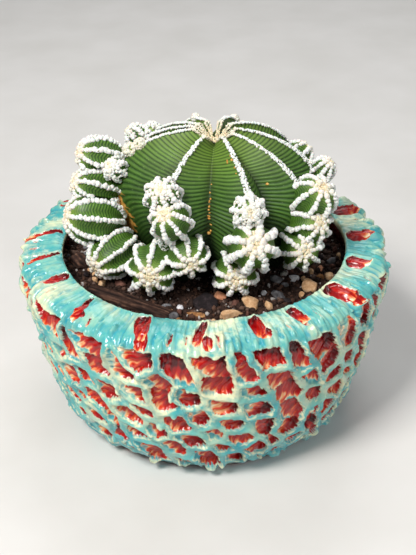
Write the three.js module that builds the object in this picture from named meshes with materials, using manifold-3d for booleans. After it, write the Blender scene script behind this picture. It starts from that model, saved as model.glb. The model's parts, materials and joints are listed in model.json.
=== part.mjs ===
// A round ten-ribbed cactus with pups, growing in a thick glazed ceramic bowl.
// Millimetres, +Z up, and the front of the plant faces -Y.
// The origin is the centre of the bowl's flat underside.

import * as THREE from "three";
import { mergeVertices } from "three/addons/utils/BufferGeometryUtils.js";
import Module from "manifold-3d";

const wasm = await Module();
wasm.setup();

// ---------------------------------------------------------------- driving dimensions

const GAP = 0.3; // between two pieces that touch

// The plant. Heights are above the soil.
const STEM_RADIUS = 45.5; // to the rib crests at the widest level
const STEM_RISE = 60.8; // to the rib crests at the crown
const WIDEST_HEIGHT = 33; // level of the widest ring
const GROOVE_DEPTH = 13; // crest to groove at the widest level
const CROWN_RADIUS = 7; // ring of crests round the central dip
const CROWN_DIP = 6.6; // how far the dip lies below the crown
const ROOT_LENGTH = 34; // taproot below the soil surface
const PLANT_SHIFT = new THREE.Vector2(5.1, 10); // from the bowl's axis

// The bowl.
const GROWING_ROOM = 17.8; // from the rib crests to the lip
const RIM_WIDTH = 19; // from the lip to the widest part of the bowl
const POT_HEIGHT = 82.5;
const SHOULDER_DROP = 10.5; // lip down to the widest level
const FOOT_INSET = 21.3; // widest radius less foot radius
const FOOT_ROUNDING = 3;
const WALL_THICKNESS = 11;
const FLOOR_THICKNESS = 10;
const DRAIN_RADIUS = 6.5;

// The soil.
const RIM_TO_SOIL = 11.5; // watering space above the soil

const LIP_RADIUS = STEM_RADIUS + GROWING_ROOM;
const POT_RADIUS = LIP_RADIUS + RIM_WIDTH;
const FOOT_RADIUS = POT_RADIUS - FOOT_INSET;
const SHOULDER_HEIGHT = POT_HEIGHT - SHOULDER_DROP;
const SOIL_HEIGHT = POT_HEIGHT - RIM_TO_SOIL;
const CAVITY_RADIUS = POT_RADIUS - WALL_THICKNESS;

const ROUND_SEGMENTS = 56; // a multiple of four keeps the bowl's box centred

// Ribs in order round the stem: azimuth in degrees, extra reach of the crest, and where the
// groove after it lies: its share of the way to the next rib, and how much shallower it is.
const RIBS = [
  { azimuth: -181, extra: 3, groove: 0.7, shallow: 2 },
  { azimuth: -120.7 },
  { azimuth: -69.5 },
  { azimuth: -31.7 },
  { azimuth: 1.4 },
  { azimuth: 36 },
  { azimuth: 73, extra: -2.5 },
  { azimuth: 113, extra: -2.5 },
  { azimuth: 142 },
  { azimuth: 160, shallow: 4 },
];

// Pups: rib (its index in the list above), distance along the arc from that rib's crest, distance
// of the centre beyond the crest line, height of the centre above the soil, radius, stretch along
// the growing axis, and the azimuth and elevation of that axis.
const PUPS = [
  ["pup_front_left_1", 1, -0.2, 2.4, 46.8, 7.8, 1.0, -100, 50],
  ["pup_front_left_2", 1, 5.3, 0.4, 38.2, 8.6, 1.0, -119, 48],
  ["pup_front_left_3", 1, 11.3, -1.4, 22.0, 8.9, 1.05, -79, 4],
  ["pup_front_left_4", 1, -3.4, 4.6, 14.2, 11.2, 1.0, -98, 9],
  ["pup_front_1", 2, -2.0, 0.5, 42.4, 7.0, 1.0, -84, 27],
  ["pup_front_2", 2, -2.0, 1.7, 28.0, 10.8, 0.9, -79, 34],
  ["pup_front_3", 2, -6.8, -1.4, 11.6, 9.8, 1.0, -90, 11],
  ["pup_right_1", 4, 0.0, 3.2, 39.6, 5.4, 1.25, -30, 55],
  ["pup_right_2", 3, 2.9, 2.0, 37.6, 10.0, 1.0, -50, 55],
  ["pup_right_3", 3, -1.0, 2.3, 27.6, 9.2, 1.0, -57, 28],
  ["pup_right_4", 3, -5.0, 3.0, 17.2, 9.6, 1.0, -80, 20],
  ["pup_left_1", 9, -1.6, 1.0, 50.6, 5.4, 1.25, 165, 40],
  ["pup_left_2", 0, 0.8, 9.4, 48.2, 8.7, 1.25, 200, 20],
  ["pup_left_3", 0, 6.4, 0.1, 44.6, 5.6, 1.0, 235, 45],
  ["pup_left_4", 0, 6.4, 4.5, 36.2, 8.8, 1.25, 198, 26],
  ["pup_left_5", 0, 13.5, 7.4, 25.4, 11.4, 1.15, 196, 16],
  ["pup_left_6", 0, 22.2, 6.6, 12.4, 10.4, 1.15, 225, -14],
  ["pup_back_right_1", 5, 0.0, 1.6, 33.0, 7.6, 1.1, 30, 35],
  ["pup_back_right_2", 5, -3.2, -0.3, 18.6, 8.6, 1.05, 25, 10],
  ["pup_back_1", 6, 0.8, 3.1, 37.0, 6.4, 1.05, 70, 45],
  ["pup_back_2", 6, -1.6, 6.3, 22.5, 9.8, 1.05, 80, 22],
  ["pup_back_3", 6, -8.7, 2.4, 9.0, 6.6, 1.0, 55, 0],
  ["pup_back_left_1", 7, 0.0, 3.8, 29.5, 8.4, 1.1, 118, 30],
  ["pup_back_left_2", 7, 4.8, 2.8, 14.0, 8.6, 1.0, 125, 6],
  ["pup_back_left_3", 8, 3.2, 2.2, 26.5, 8.8, 1.1, 150, 22],
];
const PUP_RIBS = 8;
const PUP_GROOVE = 0.82; // groove radius as a share of the pup's own crest radius

// Loose pieces on the soil: kind, arc length along the lip from the front (+ to the right),
// distance in from the lip, half sizes along the arc, across it and upwards, turn and tilt.
const CHIPS = [
  ["bark_chunk_left", "bark", -97, 7.4, [5.4, 4.2, 3.4], 20, 8],
  ["bark_chunk_right", "bark", 108, 10.6, [4.4, 2.2, 2.0], -30, 6],
  ["bark_chunk_back", "bark", 176, 10.0, [6.2, 3.4, 2.6], 12, 5],
  ["charcoal_chunk", "charcoal", 0.4, 27.2, [5.4, 5.0, 3.8], 35, 0],
  ["wood_chip_front", "wood", -6.0, 19.2, [4.8, 1.7, 1.3], -12, 4],
  ["stone_tan_large", "tan", 31.2, 21.6, [4.0, 4.9, 3.6], -8, 6],
  ["stone_tan_front", "tan", 14.0, 17.6, [6.2, 2.9, 2.8], 4, 0],
  ["stone_tan_slim", "tan", 39.4, 16.6, [1.8, 3.4, 1.9], -25, 0],
  ["stone_tan_right", "tan", 70.8, 11.6, [5.2, 3.9, 3.0], 22, 7],
  ["stone_tan_bead", "tan", 60.3, 12.2, [1.6, 1.6, 1.5], 0, 0],
  ["stone_tan_left_1", "tan", -85.0, 13.8, [1.7, 1.8, 1.5], 0, 0],
  ["stone_tan_left_2", "tan", -77.6, 16.5, [2.9, 1.6, 1.6], -30, 0],
  ["stone_peach", "peach", 13.8, 31.8, [3.3, 2.5, 2.2], -30, 0],
  ["stone_brown_front", "brown", 22.0, 25.6, [2.4, 2.1, 1.9], 20, 0],
  ["stone_brown_left", "brown", -67.8, 21.6, [3.2, 2.4, 2.0], 15, 0],
  ["stone_brown_right", "brown", 117.4, 5.4, [2.8, 2.2, 2.4], 0, 0],
  ["stone_orange_right", "peach", 89.0, 10.8, [2.0, 1.7, 1.6], 0, 0],
  ["stone_grey_1", "grey", 66.2, 26.6, [2.5, 3.1, 2.4], 15, 0],
  ["stone_grey_2", "grey", 50.6, 19.2, [3.1, 3.0, 2.6], -20, 0],
  ["stone_grey_right", "grey", 96.0, 5.6, [2.7, 2.3, 2.0], 10, 0],
  ["stone_grey_back", "grey", -150, 9.0, [4.0, 3.0, 2.6], 25, 0],
  ["stone_brown_back", "brown", 148, 8.0, [3.4, 2.8, 2.3], -15, 0],
  ["perlite_right", "perlite", 73.6, 20.8, [2.1, 3.0, 2.1], 35, 0],
  ["perlite_front", "perlite", 47.6, 25.2, [1.8, 1.6, 1.5], 0, 0],
  ["perlite_left", "perlite", -59.0, 24.6, [1.8, 1.7, 1.6], 0, 0],
  ["perlite_front_left", "perlite", -16.6, 23.2, [1.9, 1.6, 1.5], 20, 0],
  ["perlite_back", "perlite", -172, 14.0, [2.0, 1.7, 1.6], 0, 0],
];
const CHIP_SUNK = 0.35; // share of a loose piece's whole height that lies below the soil
const STONE_ROUGHNESS = 0.12; // how far a stone's corners move, as a share of its size

// The long strip of bark that lies along the front left of the soil.
const BARK_STRIP = {
  along: -47.2,
  inset: 15.8,
  length: 42,
  width: 7.5,
  thickness: 3.6,
  turn: 11,
  tilt: -6,
  lift: 1.4, // its middle above the soil
};

// ---------------------------------------------------------------- materials

const FINISHES = {
  glaze: { color: 0x5cc3c6, roughness: 0.22, metalness: 0 },
  soil: { color: 0x1f1814, roughness: 0.95, metalness: 0 },
  stem: { color: 0x4f7d33, roughness: 0.55, metalness: 0 },
  pup: { color: 0x5d8a3c, roughness: 0.6, metalness: 0 },
  bark: { color: 0x4a3530, roughness: 0.9, metalness: 0 },
  charcoal: { color: 0x241d1f, roughness: 0.85, metalness: 0 },
  wood: { color: 0x9a6f43, roughness: 0.85, metalness: 0 },
  tan: { color: 0xc79f77, roughness: 0.85, metalness: 0 },
  peach: { color: 0xc28a68, roughness: 0.85, metalness: 0 },
  brown: { color: 0x5e4038, roughness: 0.85, metalness: 0 },
  grey: { color: 0x66666a, roughness: 0.8, metalness: 0 },
  perlite: { color: 0xe4e2e4, roughness: 0.9, metalness: 0 },
};

function material(finish) {
  return new THREE.MeshStandardMaterial(FINISHES[finish]);
}

// ---------------------------------------------------------------- solids

const degrees = THREE.MathUtils.degToRad;

function solidFrom(geometry, matrix = new THREE.Matrix4()) {
  const bare = geometry.clone().applyMatrix4(matrix);
  bare.deleteAttribute("normal");
  bare.deleteAttribute("uv");
  const merged = mergeVertices(bare, 1e-4);
  return new wasm.Manifold(
    new wasm.Mesh({
      numProp: 3,
      vertProperties: merged.attributes.position.array,
      triVerts: new Uint32Array(merged.index.array),
    }),
  );
}

function geometryFrom(solid) {
  const cut = solid.getMesh();
  const geometry = new THREE.BufferGeometry();
  geometry.setAttribute("position", new THREE.BufferAttribute(cut.vertProperties, 3));
  geometry.setIndex(new THREE.BufferAttribute(cut.triVerts, 1));
  return geometry;
}

function namedMesh(name, geometry, finish) {
  const mesh = new THREE.Mesh(geometry, material(finish));
  mesh.name = name;
  return mesh;
}

// A closed surface over rings of points that run anticlockwise, from the top ring down, with a
// single point at each end.
function shellOver(top, rings, bottom) {
  const columns = rings[0].length;
  const points = [top, ...rings.flat(), bottom];
  const last = points.length - 1;
  const at = (row, column) => 1 + row * columns + (column % columns);
  const faces = [];
  for (let column = 0; column < columns; column++) {
    faces.push(0, at(0, column), at(0, column + 1));
    for (let row = 0; row + 1 < rings.length; row++) {
      const [a, b] = [at(row, column), at(row, column + 1)];
      const [c, d] = [at(row + 1, column), at(row + 1, column + 1)];
      faces.push(a, c, b, b, c, d);
    }
    const lowest = rings.length - 1;
    faces.push(last, at(lowest, column + 1), at(lowest, column));
  }
  const geometry = new THREE.BufferGeometry().setFromPoints(points);
  geometry.setIndex(faces);
  return geometry;
}

// A solid of revolution about Z from an outline of [radius, height] points, in the order that
// makes its faces point outwards.
function turned(outline) {
  const points = outline.map(([radius, height]) => new THREE.Vector2(radius, height));
  const geometry = new THREE.LatheGeometry(points, ROUND_SEGMENTS);
  return geometry.rotateX(Math.PI / 2);
}

function bezier(start, startPull, endPull, end, steps) {
  const [a, b, c, d] = [start, startPull, endPull, end].map(([x, y]) => new THREE.Vector2(x, y));
  return new THREE.CubicBezierCurve(a, b, c, d).getPoints(steps).map((point) => [point.x, point.y]);
}

// A box that covers everything further than `distance` from `origin` along `direction`.
function halfSpace(origin, direction, distance) {
  const side = 6 * POT_RADIUS;
  const turn = new THREE.Quaternion().setFromUnitVectors(new THREE.Vector3(0, 0, 1), direction);
  const centre = origin.clone().addScaledVector(direction, distance + side / 2);
  const place = new THREE.Matrix4().compose(centre, turn, new THREE.Vector3(1, 1, 1));
  return solidFrom(new THREE.BoxGeometry(side, side, side), place);
}

// ---------------------------------------------------------------- bowl and soil

const WALL_STEPS = 7;
const CORNER_STEPS = 4;

// The inside of the bowl from the lip down to the floor, drawn in by `gap`.
function cavityOutline(gap) {
  const lip = LIP_RADIUS - gap;
  const widest = CAVITY_RADIUS - gap;
  const floor = FLOOR_THICKNESS + gap;
  const waist = (floor + SHOULDER_HEIGHT) / 2 + 6;
  const underRim = bezier([lip, POT_HEIGHT - 1.5], [lip + 0.6, SOIL_HEIGHT], [widest, SOIL_HEIGHT - 4],
    [widest, waist], CORNER_STEPS + 1);
  const bowl = bezier([widest, waist], [widest, floor + 14], [widest - 12, floor],
    [widest - 28, floor], WALL_STEPS);
  return [...underRim, ...bowl.slice(1)];
}

function makePot() {
  const wall = bezier([FOOT_RADIUS, FOOT_ROUNDING], [FOOT_RADIUS + 13, 14],
    [POT_RADIUS - 6.3, SHOULDER_HEIGHT - 28], [POT_RADIUS, SHOULDER_HEIGHT], WALL_STEPS);
  const shoulder = bezier([POT_RADIUS, SHOULDER_HEIGHT], [POT_RADIUS + 0.6, POT_HEIGHT - 4],
    [POT_RADIUS - 3, POT_HEIGHT - 1], [LIP_RADIUS + 7.7, POT_HEIGHT - 0.4], CORNER_STEPS + 1);
  const outline = [
    [DRAIN_RADIUS, 0],
    [FOOT_RADIUS - FOOT_ROUNDING, 0],
    ...wall,
    ...shoulder.slice(1),
    [LIP_RADIUS + 1.2, POT_HEIGHT],
    ...cavityOutline(0),
    [DRAIN_RADIUS, FLOOR_THICKNESS],
    [DRAIN_RADIUS, 0],
  ];
  return namedMesh("ceramic_pot", turned(outline), "glaze");
}

function soilBlank() {
  const side = cavityOutline(GAP);
  const outline = [[0, FLOOR_THICKNESS + GAP], ...side.reverse(), [0, POT_HEIGHT - 1.5]];
  const above = halfSpace(new THREE.Vector3(0, 0, SOIL_HEIGHT), new THREE.Vector3(0, 0, 1), 0);
  return solidFrom(turned(outline)).subtract(above);
}

// ---------------------------------------------------------------- stem

const STEM_FOOT_ANGLE = 146; // where the rounded underside meets the soil
const CROWN_FLATNESS = 1.2; // above 1, the crown is flatter than an ellipse
const STEM_ANGLES = [0, 12, 25, 38, 51, 64, 77, 90, 104, 118, 132, STEM_FOOT_ANGLE];
const COLUMNS_PER_FACE = 3;
const FACE_BULGE = 2; // how far a face stands proud of the flat between crest and groove
const CREST_FOOT = 14;
const GROOVE_FOOT = 8;

// A line down the stem, as [radius, height] at an angle from the crown, enlarged by `gap`.
function stemLine(angle, gap, reach, crown, crownHeight, foot) {
  const t = degrees(angle);
  if (angle <= 90) {
    const radius = crown + (reach + gap - crown) * Math.sin(t) ** CROWN_FLATNESS;
    return [radius, WIDEST_HEIGHT + (crownHeight + gap - WIDEST_HEIGHT) * Math.cos(t)];
  }
  const radius = foot + gap + (reach - foot) * Math.sin(t);
  const drop = Math.cos(t) / Math.cos(degrees(STEM_FOOT_ANGLE));
  return [radius, WIDEST_HEIGHT - (WIDEST_HEIGHT + gap) * drop];
}

// The radius of a rib's crest line at a height above the soil.
function crestReach(height, extra = 0) {
  const reach = STEM_RADIUS + extra;
  if (height >= WIDEST_HEIGHT) {
    const level = Math.min(1, (height - WIDEST_HEIGHT) / (STEM_RISE - WIDEST_HEIGHT));
    return CROWN_RADIUS + (reach - CROWN_RADIUS) * Math.sin(Math.acos(level)) ** CROWN_FLATNESS;
  }
  const level = (1 - height / WIDEST_HEIGHT) * Math.cos(degrees(STEM_FOOT_ANGLE));
  return CREST_FOOT + (reach - CREST_FOOT) * Math.sin(Math.acos(level));
}

function around(azimuth, [radius, height]) {
  const turn = degrees(azimuth);
  return new THREE.Vector3(radius * Math.cos(turn), radius * Math.sin(turn), height);
}

// One ring of the stem: crest, face, groove and face for each rib, enlarged by `gap`.
function stemRing(angle, gap) {
  const ring = [];
  RIBS.forEach((rib, index) => {
    const next = RIBS[(index + 1) % RIBS.length];
    const span = THREE.MathUtils.euclideanModulo(next.azimuth - rib.azimuth, 360);
    const crestOf = ({ azimuth, extra = 0 }) =>
      around(azimuth, stemLine(angle, gap, STEM_RADIUS + extra, CROWN_RADIUS, STEM_RISE, CREST_FOOT));
    const grooveReach = STEM_RADIUS - GROOVE_DEPTH + (rib.shallow ?? 0);
    const groove = around(rib.azimuth + span * (rib.groove ?? 0.5),
      stemLine(angle, gap, grooveReach, 1.5, STEM_RISE - CROWN_DIP, GROOVE_FOOT));
    const faces = [[crestOf(rib), groove], [groove, crestOf(next)]];
    for (const [from, to] of faces) {
      const outward = from.clone().add(to).setZ(0).normalize();
      for (let step = 0; step < COLUMNS_PER_FACE; step++) {
        const share = step / COLUMNS_PER_FACE;
        const bulge = FACE_BULGE * Math.sin(Math.PI * share) * Math.sin(degrees(angle));
        ring.push(from.clone().lerp(to, share).addScaledVector(outward, bulge));
      }
    }
  });
  return ring;
}

function stemShell(gap) {
  const rings = STEM_ANGLES.map((angle) => stemRing(angle, gap));
  const azimuths = rings[0].map((point) => THREE.MathUtils.radToDeg(Math.atan2(point.y, point.x)));
  const root = [[20, -0.2], [11, -0.45], [5, -0.85]].map(([radius, share]) =>
    azimuths.map((azimuth) => around(azimuth, [radius + gap, share * ROOT_LENGTH - gap])));
  const crown = new THREE.Vector3(0, 0, STEM_RISE - CROWN_DIP - 0.6 + gap);
  const tip = new THREE.Vector3(0, 0, -ROOT_LENGTH - 2 * gap);
  return shellOver(crown, [...rings, ...root], tip);
}

// ---------------------------------------------------------------- pups

const PUP_ANGLES = [18, 45, 72, 98, 124, 150];

function pupShell(radius, stretch) {
  const rings = PUP_ANGLES.map((angle) => {
    const ring = [];
    for (let column = 0; column < 2 * PUP_RIBS; column++) {
      const share = column % 2 ? PUP_GROOVE : 1;
      const t = degrees(angle);
      const level = [radius * share * Math.sin(t), radius * stretch * Math.cos(t)];
      ring.push(around((column * 180) / PUP_RIBS, level));
    }
    return ring;
  });
  const end = radius * stretch;
  return shellOver(new THREE.Vector3(0, 0, 0.93 * end), rings, new THREE.Vector3(0, 0, -0.96 * end));
}

const pups = PUPS.map(([name, rib, side, beyond, height, radius, stretch, leanAzimuth, leanElevation]) => {
  const azimuth = RIBS[rib].azimuth + THREE.MathUtils.radToDeg(side / STEM_RADIUS);
  const centre = around(azimuth, [crestReach(height, RIBS[rib].extra) + beyond, height]);
  const lean = degrees(leanElevation);
  const axis = around(leanAzimuth, [Math.cos(lean), Math.sin(lean)]);
  return { name, centre, radius, stretch, axis };
});

// Where two pups press on each other, both end at the flat between their spheres.
function flatBetween(pup, other) {
  const apart = other.centre.clone().sub(pup.centre);
  const distance = apart.length();
  if (distance >= pup.radius * pup.stretch + other.radius * other.stretch) return null;
  const reach = (distance ** 2 + pup.radius ** 2 - other.radius ** 2) / (2 * distance);
  return halfSpace(pup.centre, apart.normalize(), reach - GAP / 2);
}

function makePup(pup, stemCutter, soilCutter, chipCutters) {
  const turn = new THREE.Quaternion().setFromUnitVectors(new THREE.Vector3(0, 0, 1), pup.axis);
  const place = new THREE.Matrix4().compose(pup.centre, turn, new THREE.Vector3(1, 1, 1));
  let solid = solidFrom(pupShell(pup.radius, pup.stretch), place).subtract(stemCutter).subtract(soilCutter);
  for (const other of pups) {
    const flat = other === pup ? null : flatBetween(pup, other);
    if (flat) solid = solid.subtract(flat);
  }
  for (const cutter of chipCutters) solid = solid.subtract(cutter);
  return namedMesh(pup.name, geometryFrom(solid), "pup");
}

// ---------------------------------------------------------------- loose pieces on the soil

// A repeatable value from -1 to 1 for a whole number.
function scatter(seed) {
  const wave = Math.sin(seed * 12.9898) * 43758.5453;
  return 2 * (wave - Math.floor(wave)) - 1;
}

function onSoil(along, inset, lift, turn, tilt) {
  const azimuth = along / LIP_RADIUS - Math.PI / 2;
  const reach = LIP_RADIUS - inset;
  const place = new THREE.Matrix4().makeTranslation(reach * Math.cos(azimuth), reach * Math.sin(azimuth),
    SOIL_HEIGHT + lift);
  place.multiply(new THREE.Matrix4().makeRotationZ(azimuth + Math.PI / 2 + degrees(turn)));
  return place.multiply(new THREE.Matrix4().makeRotationX(degrees(tilt)));
}

// A rough stone: a twelve-sided ball whose corners are moved a little, enlarged by `gap`.
function stoneShell(halfSizes, seed, gap) {
  const ball = new THREE.DodecahedronGeometry(1, 0);
  ball.deleteAttribute("normal");
  ball.deleteAttribute("uv");
  const stone = mergeVertices(ball, 1e-4);
  const corners = stone.attributes.position;
  for (let index = 0; index < corners.count; index++) {
    const size = 1 + STONE_ROUGHNESS * scatter(seed * ball.attributes.position.count + index);
    const moved = halfSizes.map((half, side) => (half * size + gap) * corners.getComponent(index, side));
    corners.setXYZ(index, ...moved);
  }
  return stone;
}

function stripShell(gap) {
  const { length, width, thickness } = BARK_STRIP;
  const [x, y] = [length / 2 + gap, width / 2 + gap];
  const outline = new THREE.Shape([
    new THREE.Vector2(-x, -0.5 * y),
    new THREE.Vector2(-0.55 * x, -0.9 * y),
    new THREE.Vector2(0.5 * x, -y),
    new THREE.Vector2(x, -0.6 * y),
    new THREE.Vector2(0.96 * x, 0.7 * y),
    new THREE.Vector2(0.2 * x, y),
    new THREE.Vector2(-0.8 * x, 0.85 * y),
  ]);
  const depth = thickness + 2 * gap;
  return new THREE.ExtrudeGeometry(outline, { depth, bevelEnabled: false }).translate(0, 0, -depth / 2);
}

const chips = CHIPS.map(([name, finish, along, inset, halfSizes, turn, tilt], index) => {
  const place = onSoil(along, inset, halfSizes[2] * (1 - 2 * CHIP_SUNK), turn, tilt);
  return { name, finish, place, shell: (gap) => stoneShell(halfSizes, index + 1, gap) };
});
chips.push({
  name: "bark_strip",
  finish: "bark",
  place: onSoil(BARK_STRIP.along, BARK_STRIP.inset, BARK_STRIP.lift, BARK_STRIP.turn, BARK_STRIP.tilt),
  shell: stripShell,
});

function makeChip(chip) {
  const mesh = namedMesh(chip.name, chip.shell(0), chip.finish);
  mesh.applyMatrix4(chip.place);
  return mesh;
}

// ---------------------------------------------------------------- assembly

// Measured outwards from the axis, so a little more than the gap that sloping faces keep.
const STEM_CLEARANCE = 1.6 * GAP;
const STONE_CLEARANCE = 1.4 * GAP;

const plantPlace = new THREE.Matrix4().makeTranslation(PLANT_SHIFT.x, PLANT_SHIFT.y, SOIL_HEIGHT);

const stemSpace = stemShell(STEM_CLEARANCE);
const chipSpaces = chips.map((chip) => solidFrom(chip.shell(STONE_CLEARANCE), chip.place));

function makeSoil() {
  let solid = soilBlank().subtract(solidFrom(stemSpace, plantPlace));
  for (const space of chipSpaces) solid = solid.subtract(space);
  return namedMesh("potting_mix", geometryFrom(solid), "soil");
}

function makePlant() {
  const plant = new THREE.Group();
  plant.applyMatrix4(plantPlace);
  plant.add(namedMesh("cactus_stem", stemShell(0), "stem"));
  const stemCutter = solidFrom(stemSpace);
  const soilCutter = halfSpace(new THREE.Vector3(), new THREE.Vector3(0, 0, -1), -GAP);
  const { x, y, z } = plant.position;
  const chipCutters = chipSpaces.map((space) => space.translate(-x, -y, -z));
  for (const pup of pups) plant.add(makePup(pup, stemCutter, soilCutter, chipCutters));
  return plant;
}

const group = new THREE.Group();
group.name = "potted_round_cactus";
group.add(makePot());
group.add(makeSoil());
group.add(makePlant());
for (const chip of chips) group.add(makeChip(chip));

export default group;
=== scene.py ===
"""The looks of a round ten-ribbed cactus with pups, growing in a carved and glazed bowl.

Lengths in this script are millimetres and angles are degrees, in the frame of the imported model.
They turn into metres where a mesh, a light or the camera is made.
"""

import itertools
import json
import math

import bpy
import numpy as np
from mathutils import Matrix, Vector


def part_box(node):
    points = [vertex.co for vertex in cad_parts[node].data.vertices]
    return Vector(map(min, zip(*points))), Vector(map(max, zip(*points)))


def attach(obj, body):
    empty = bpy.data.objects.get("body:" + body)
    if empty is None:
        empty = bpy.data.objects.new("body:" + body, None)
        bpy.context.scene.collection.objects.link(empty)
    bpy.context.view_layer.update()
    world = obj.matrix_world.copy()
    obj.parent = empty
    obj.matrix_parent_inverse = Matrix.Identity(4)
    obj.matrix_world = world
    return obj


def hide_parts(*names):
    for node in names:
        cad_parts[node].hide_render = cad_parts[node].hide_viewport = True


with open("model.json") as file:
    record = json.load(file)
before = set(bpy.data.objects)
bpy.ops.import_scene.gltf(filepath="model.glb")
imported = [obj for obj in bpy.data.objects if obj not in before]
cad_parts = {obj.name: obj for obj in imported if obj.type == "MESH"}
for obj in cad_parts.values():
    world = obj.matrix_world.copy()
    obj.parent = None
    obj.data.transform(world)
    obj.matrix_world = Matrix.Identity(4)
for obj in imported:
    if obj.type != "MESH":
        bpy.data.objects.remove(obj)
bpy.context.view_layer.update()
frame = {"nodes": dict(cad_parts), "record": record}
MM = 0.001

# ---------------------------------------------------------------- driving values

# The bowl.
POT_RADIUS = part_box("ceramic_pot")[1].x / MM
POT_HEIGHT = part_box("ceramic_pot")[1].z / MM
RIM_WIDTH = 19
SHOULDER_DROP = 10.5
FOOT_INSET = 21.3
FOOT_ROUNDING = 3
WALL_THICKNESS = 11
FLOOR_THICKNESS = 10
DRAIN_RADIUS = 6.5
RIM_TO_SOIL = 11.5
LIP_RADIUS = POT_RADIUS - RIM_WIDTH
FOOT_RADIUS = POT_RADIUS - FOOT_INSET
SHOULDER_HEIGHT = POT_HEIGHT - SHOULDER_DROP
SOIL_HEIGHT = POT_HEIGHT - RIM_TO_SOIL
CAVITY_RADIUS = POT_RADIUS - WALL_THICKNESS

# The plant. Its heights are above the soil.
PLANT_CENTRE = np.array([5.1, 10.0, SOIL_HEIGHT])
STEM_RADIUS = 45.5
STEM_RISE = 60.8
WIDEST_HEIGHT = 33
GROOVE_DEPTH = 13
CROWN_RADIUS = 7
CROWN_DIP = 6.6
CROWN_FLATNESS = 1.2
STEM_FOOT_ANGLE = 146
CREST_FOOT = 14
GROOVE_FOOT = 8
GROOVE_CROWN = 1.5
FACE_BULGE = 2

# Ribs in order round the stem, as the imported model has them: azimuth, extra reach of the crest,
# share of the way to the next rib at which the groove lies, and how much shallower it is.
RIBS = [
    (-181, 3, 0.7, 2),
    (-120.7, 0, 0.5, 0),
    (-69.5, 0, 0.5, 0),
    (-31.7, 0, 0.5, 0),
    (1.4, 0, 0.5, 0),
    (36, 0, 0.5, 0),
    (73, -2.5, 0.5, 0),
    (113, -2.5, 0.5, 0),
    (142, 0, 0.5, 0),
    (160, 0, 0.5, 4),
]

# Pups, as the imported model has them: rib, distance along the arc from its crest, distance beyond
# the crest line, height, radius, stretch, and azimuth and elevation of the growing axis.
PUPS = {
    "pup_front_left_1": (1, -0.2, 2.4, 46.8, 7.8, 1.0, -100, 50),
    "pup_front_left_2": (1, 5.3, 0.4, 38.2, 8.6, 1.0, -119, 48),
    "pup_front_left_3": (1, 11.3, -1.4, 22.0, 8.9, 1.05, -79, 4),
    "pup_front_left_4": (1, -3.4, 4.6, 14.2, 11.2, 1.0, -98, 9),
    "pup_front_1": (2, -2.0, 0.5, 42.4, 7.0, 1.0, -84, 27),
    "pup_front_2": (2, -2.0, 1.7, 28.0, 10.8, 0.9, -79, 34),
    "pup_front_3": (2, -6.8, -1.4, 11.6, 9.8, 1.0, -90, 11),
    "pup_right_1": (4, 0.0, 3.2, 39.6, 5.4, 1.25, -30, 55),
    "pup_right_2": (3, 2.9, 2.0, 37.6, 10.0, 1.0, -50, 55),
    "pup_right_3": (3, -1.0, 2.3, 27.6, 9.2, 1.0, -57, 28),
    "pup_right_4": (3, -5.0, 3.0, 17.2, 9.6, 1.0, -80, 20),
    "pup_left_1": (9, -1.6, 1.0, 50.6, 5.4, 1.25, 165, 40),
    "pup_left_2": (0, 0.8, 9.4, 48.2, 8.7, 1.25, 200, 20),
    "pup_left_3": (0, 6.4, 0.1, 44.6, 5.6, 1.0, 235, 45),
    "pup_left_4": (0, 6.4, 4.5, 36.2, 8.8, 1.25, 198, 26),
    "pup_left_5": (0, 13.5, 7.4, 25.4, 11.4, 1.15, 196, 16),
    "pup_left_6": (0, 22.2, 6.6, 12.4, 10.4, 1.15, 225, -14),
    "pup_back_right_1": (5, 0.0, 1.6, 33.0, 7.6, 1.1, 30, 35),
    "pup_back_right_2": (5, -3.2, -0.3, 18.6, 8.6, 1.05, 25, 10),
    "pup_back_1": (6, 0.8, 3.1, 37.0, 6.4, 1.05, 70, 45),
    "pup_back_2": (6, -1.6, 6.3, 22.5, 9.8, 1.05, 80, 22),
    "pup_back_3": (6, -8.7, 2.4, 9.0, 6.6, 1.0, 55, 0),
    "pup_back_left_1": (7, 0.0, 3.8, 29.5, 8.4, 1.1, 118, 30),
    "pup_back_left_2": (7, 4.8, 2.8, 14.0, 8.6, 1.0, 125, 6),
    "pup_back_left_3": (8, 3.2, 2.2, 26.5, 8.8, 1.1, 150, 22),
}

# ---------------------------------------------------------------- numbers and shapes


def lattice(cells, seed):
    """A repeatable value from 0 to 1 for each cell of whole numbers."""
    mixed = cells[..., 0] * 374761393 + cells[..., 1] * 668265263 + cells[..., 2] * 1442695041
    mixed = mixed + seed * 974711
    mixed = (mixed ^ (mixed >> 13)) * 1274126177
    mixed = mixed ^ (mixed >> 16)
    return (mixed & 0xFFFFF) / 0xFFFFF


def noise(points, size, seed=0, octaves=1):
    """Smooth noise from -1 to 1, with lumps about `size` across."""
    total = 0.0
    weight = 0.0
    for octave in range(octaves):
        scaled = points * (2**octave / size)
        low = np.floor(scaled)
        share = scaled - low
        share = share * share * (3 - 2 * share)
        cells = low.astype(np.int64)
        layer = 0.0
        for corner in np.ndindex(2, 2, 2):
            near = np.where(corner, share, 1 - share).prod(axis=-1)
            layer = layer + near * lattice(cells + np.array(corner), seed + octave)
        total = total + (2 * layer - 1) / 2**octave
        weight += 1 / 2**octave
    return total / weight


def smooth(low, high, value):
    """0 below `low`, 1 above `high`, and a smooth step between. `low` may be the larger."""
    share = np.clip((value - low) / (high - low), 0, 1)
    return share * share * (3 - 2 * share)


def unit(vectors):
    """The same directions, each with a length of 1."""
    return vectors / np.linalg.norm(vectors, axis=-1)[..., None]


def distances(line):
    """How far along a line each of its points lies."""
    return np.concatenate([[0], np.cumsum(np.linalg.norm(np.diff(line, axis=0), axis=1))])


def interpolated(places, along, line):
    """Points at some distances along a line."""
    return np.stack([np.interp(places, along, part) for part in line.T], -1)


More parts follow.
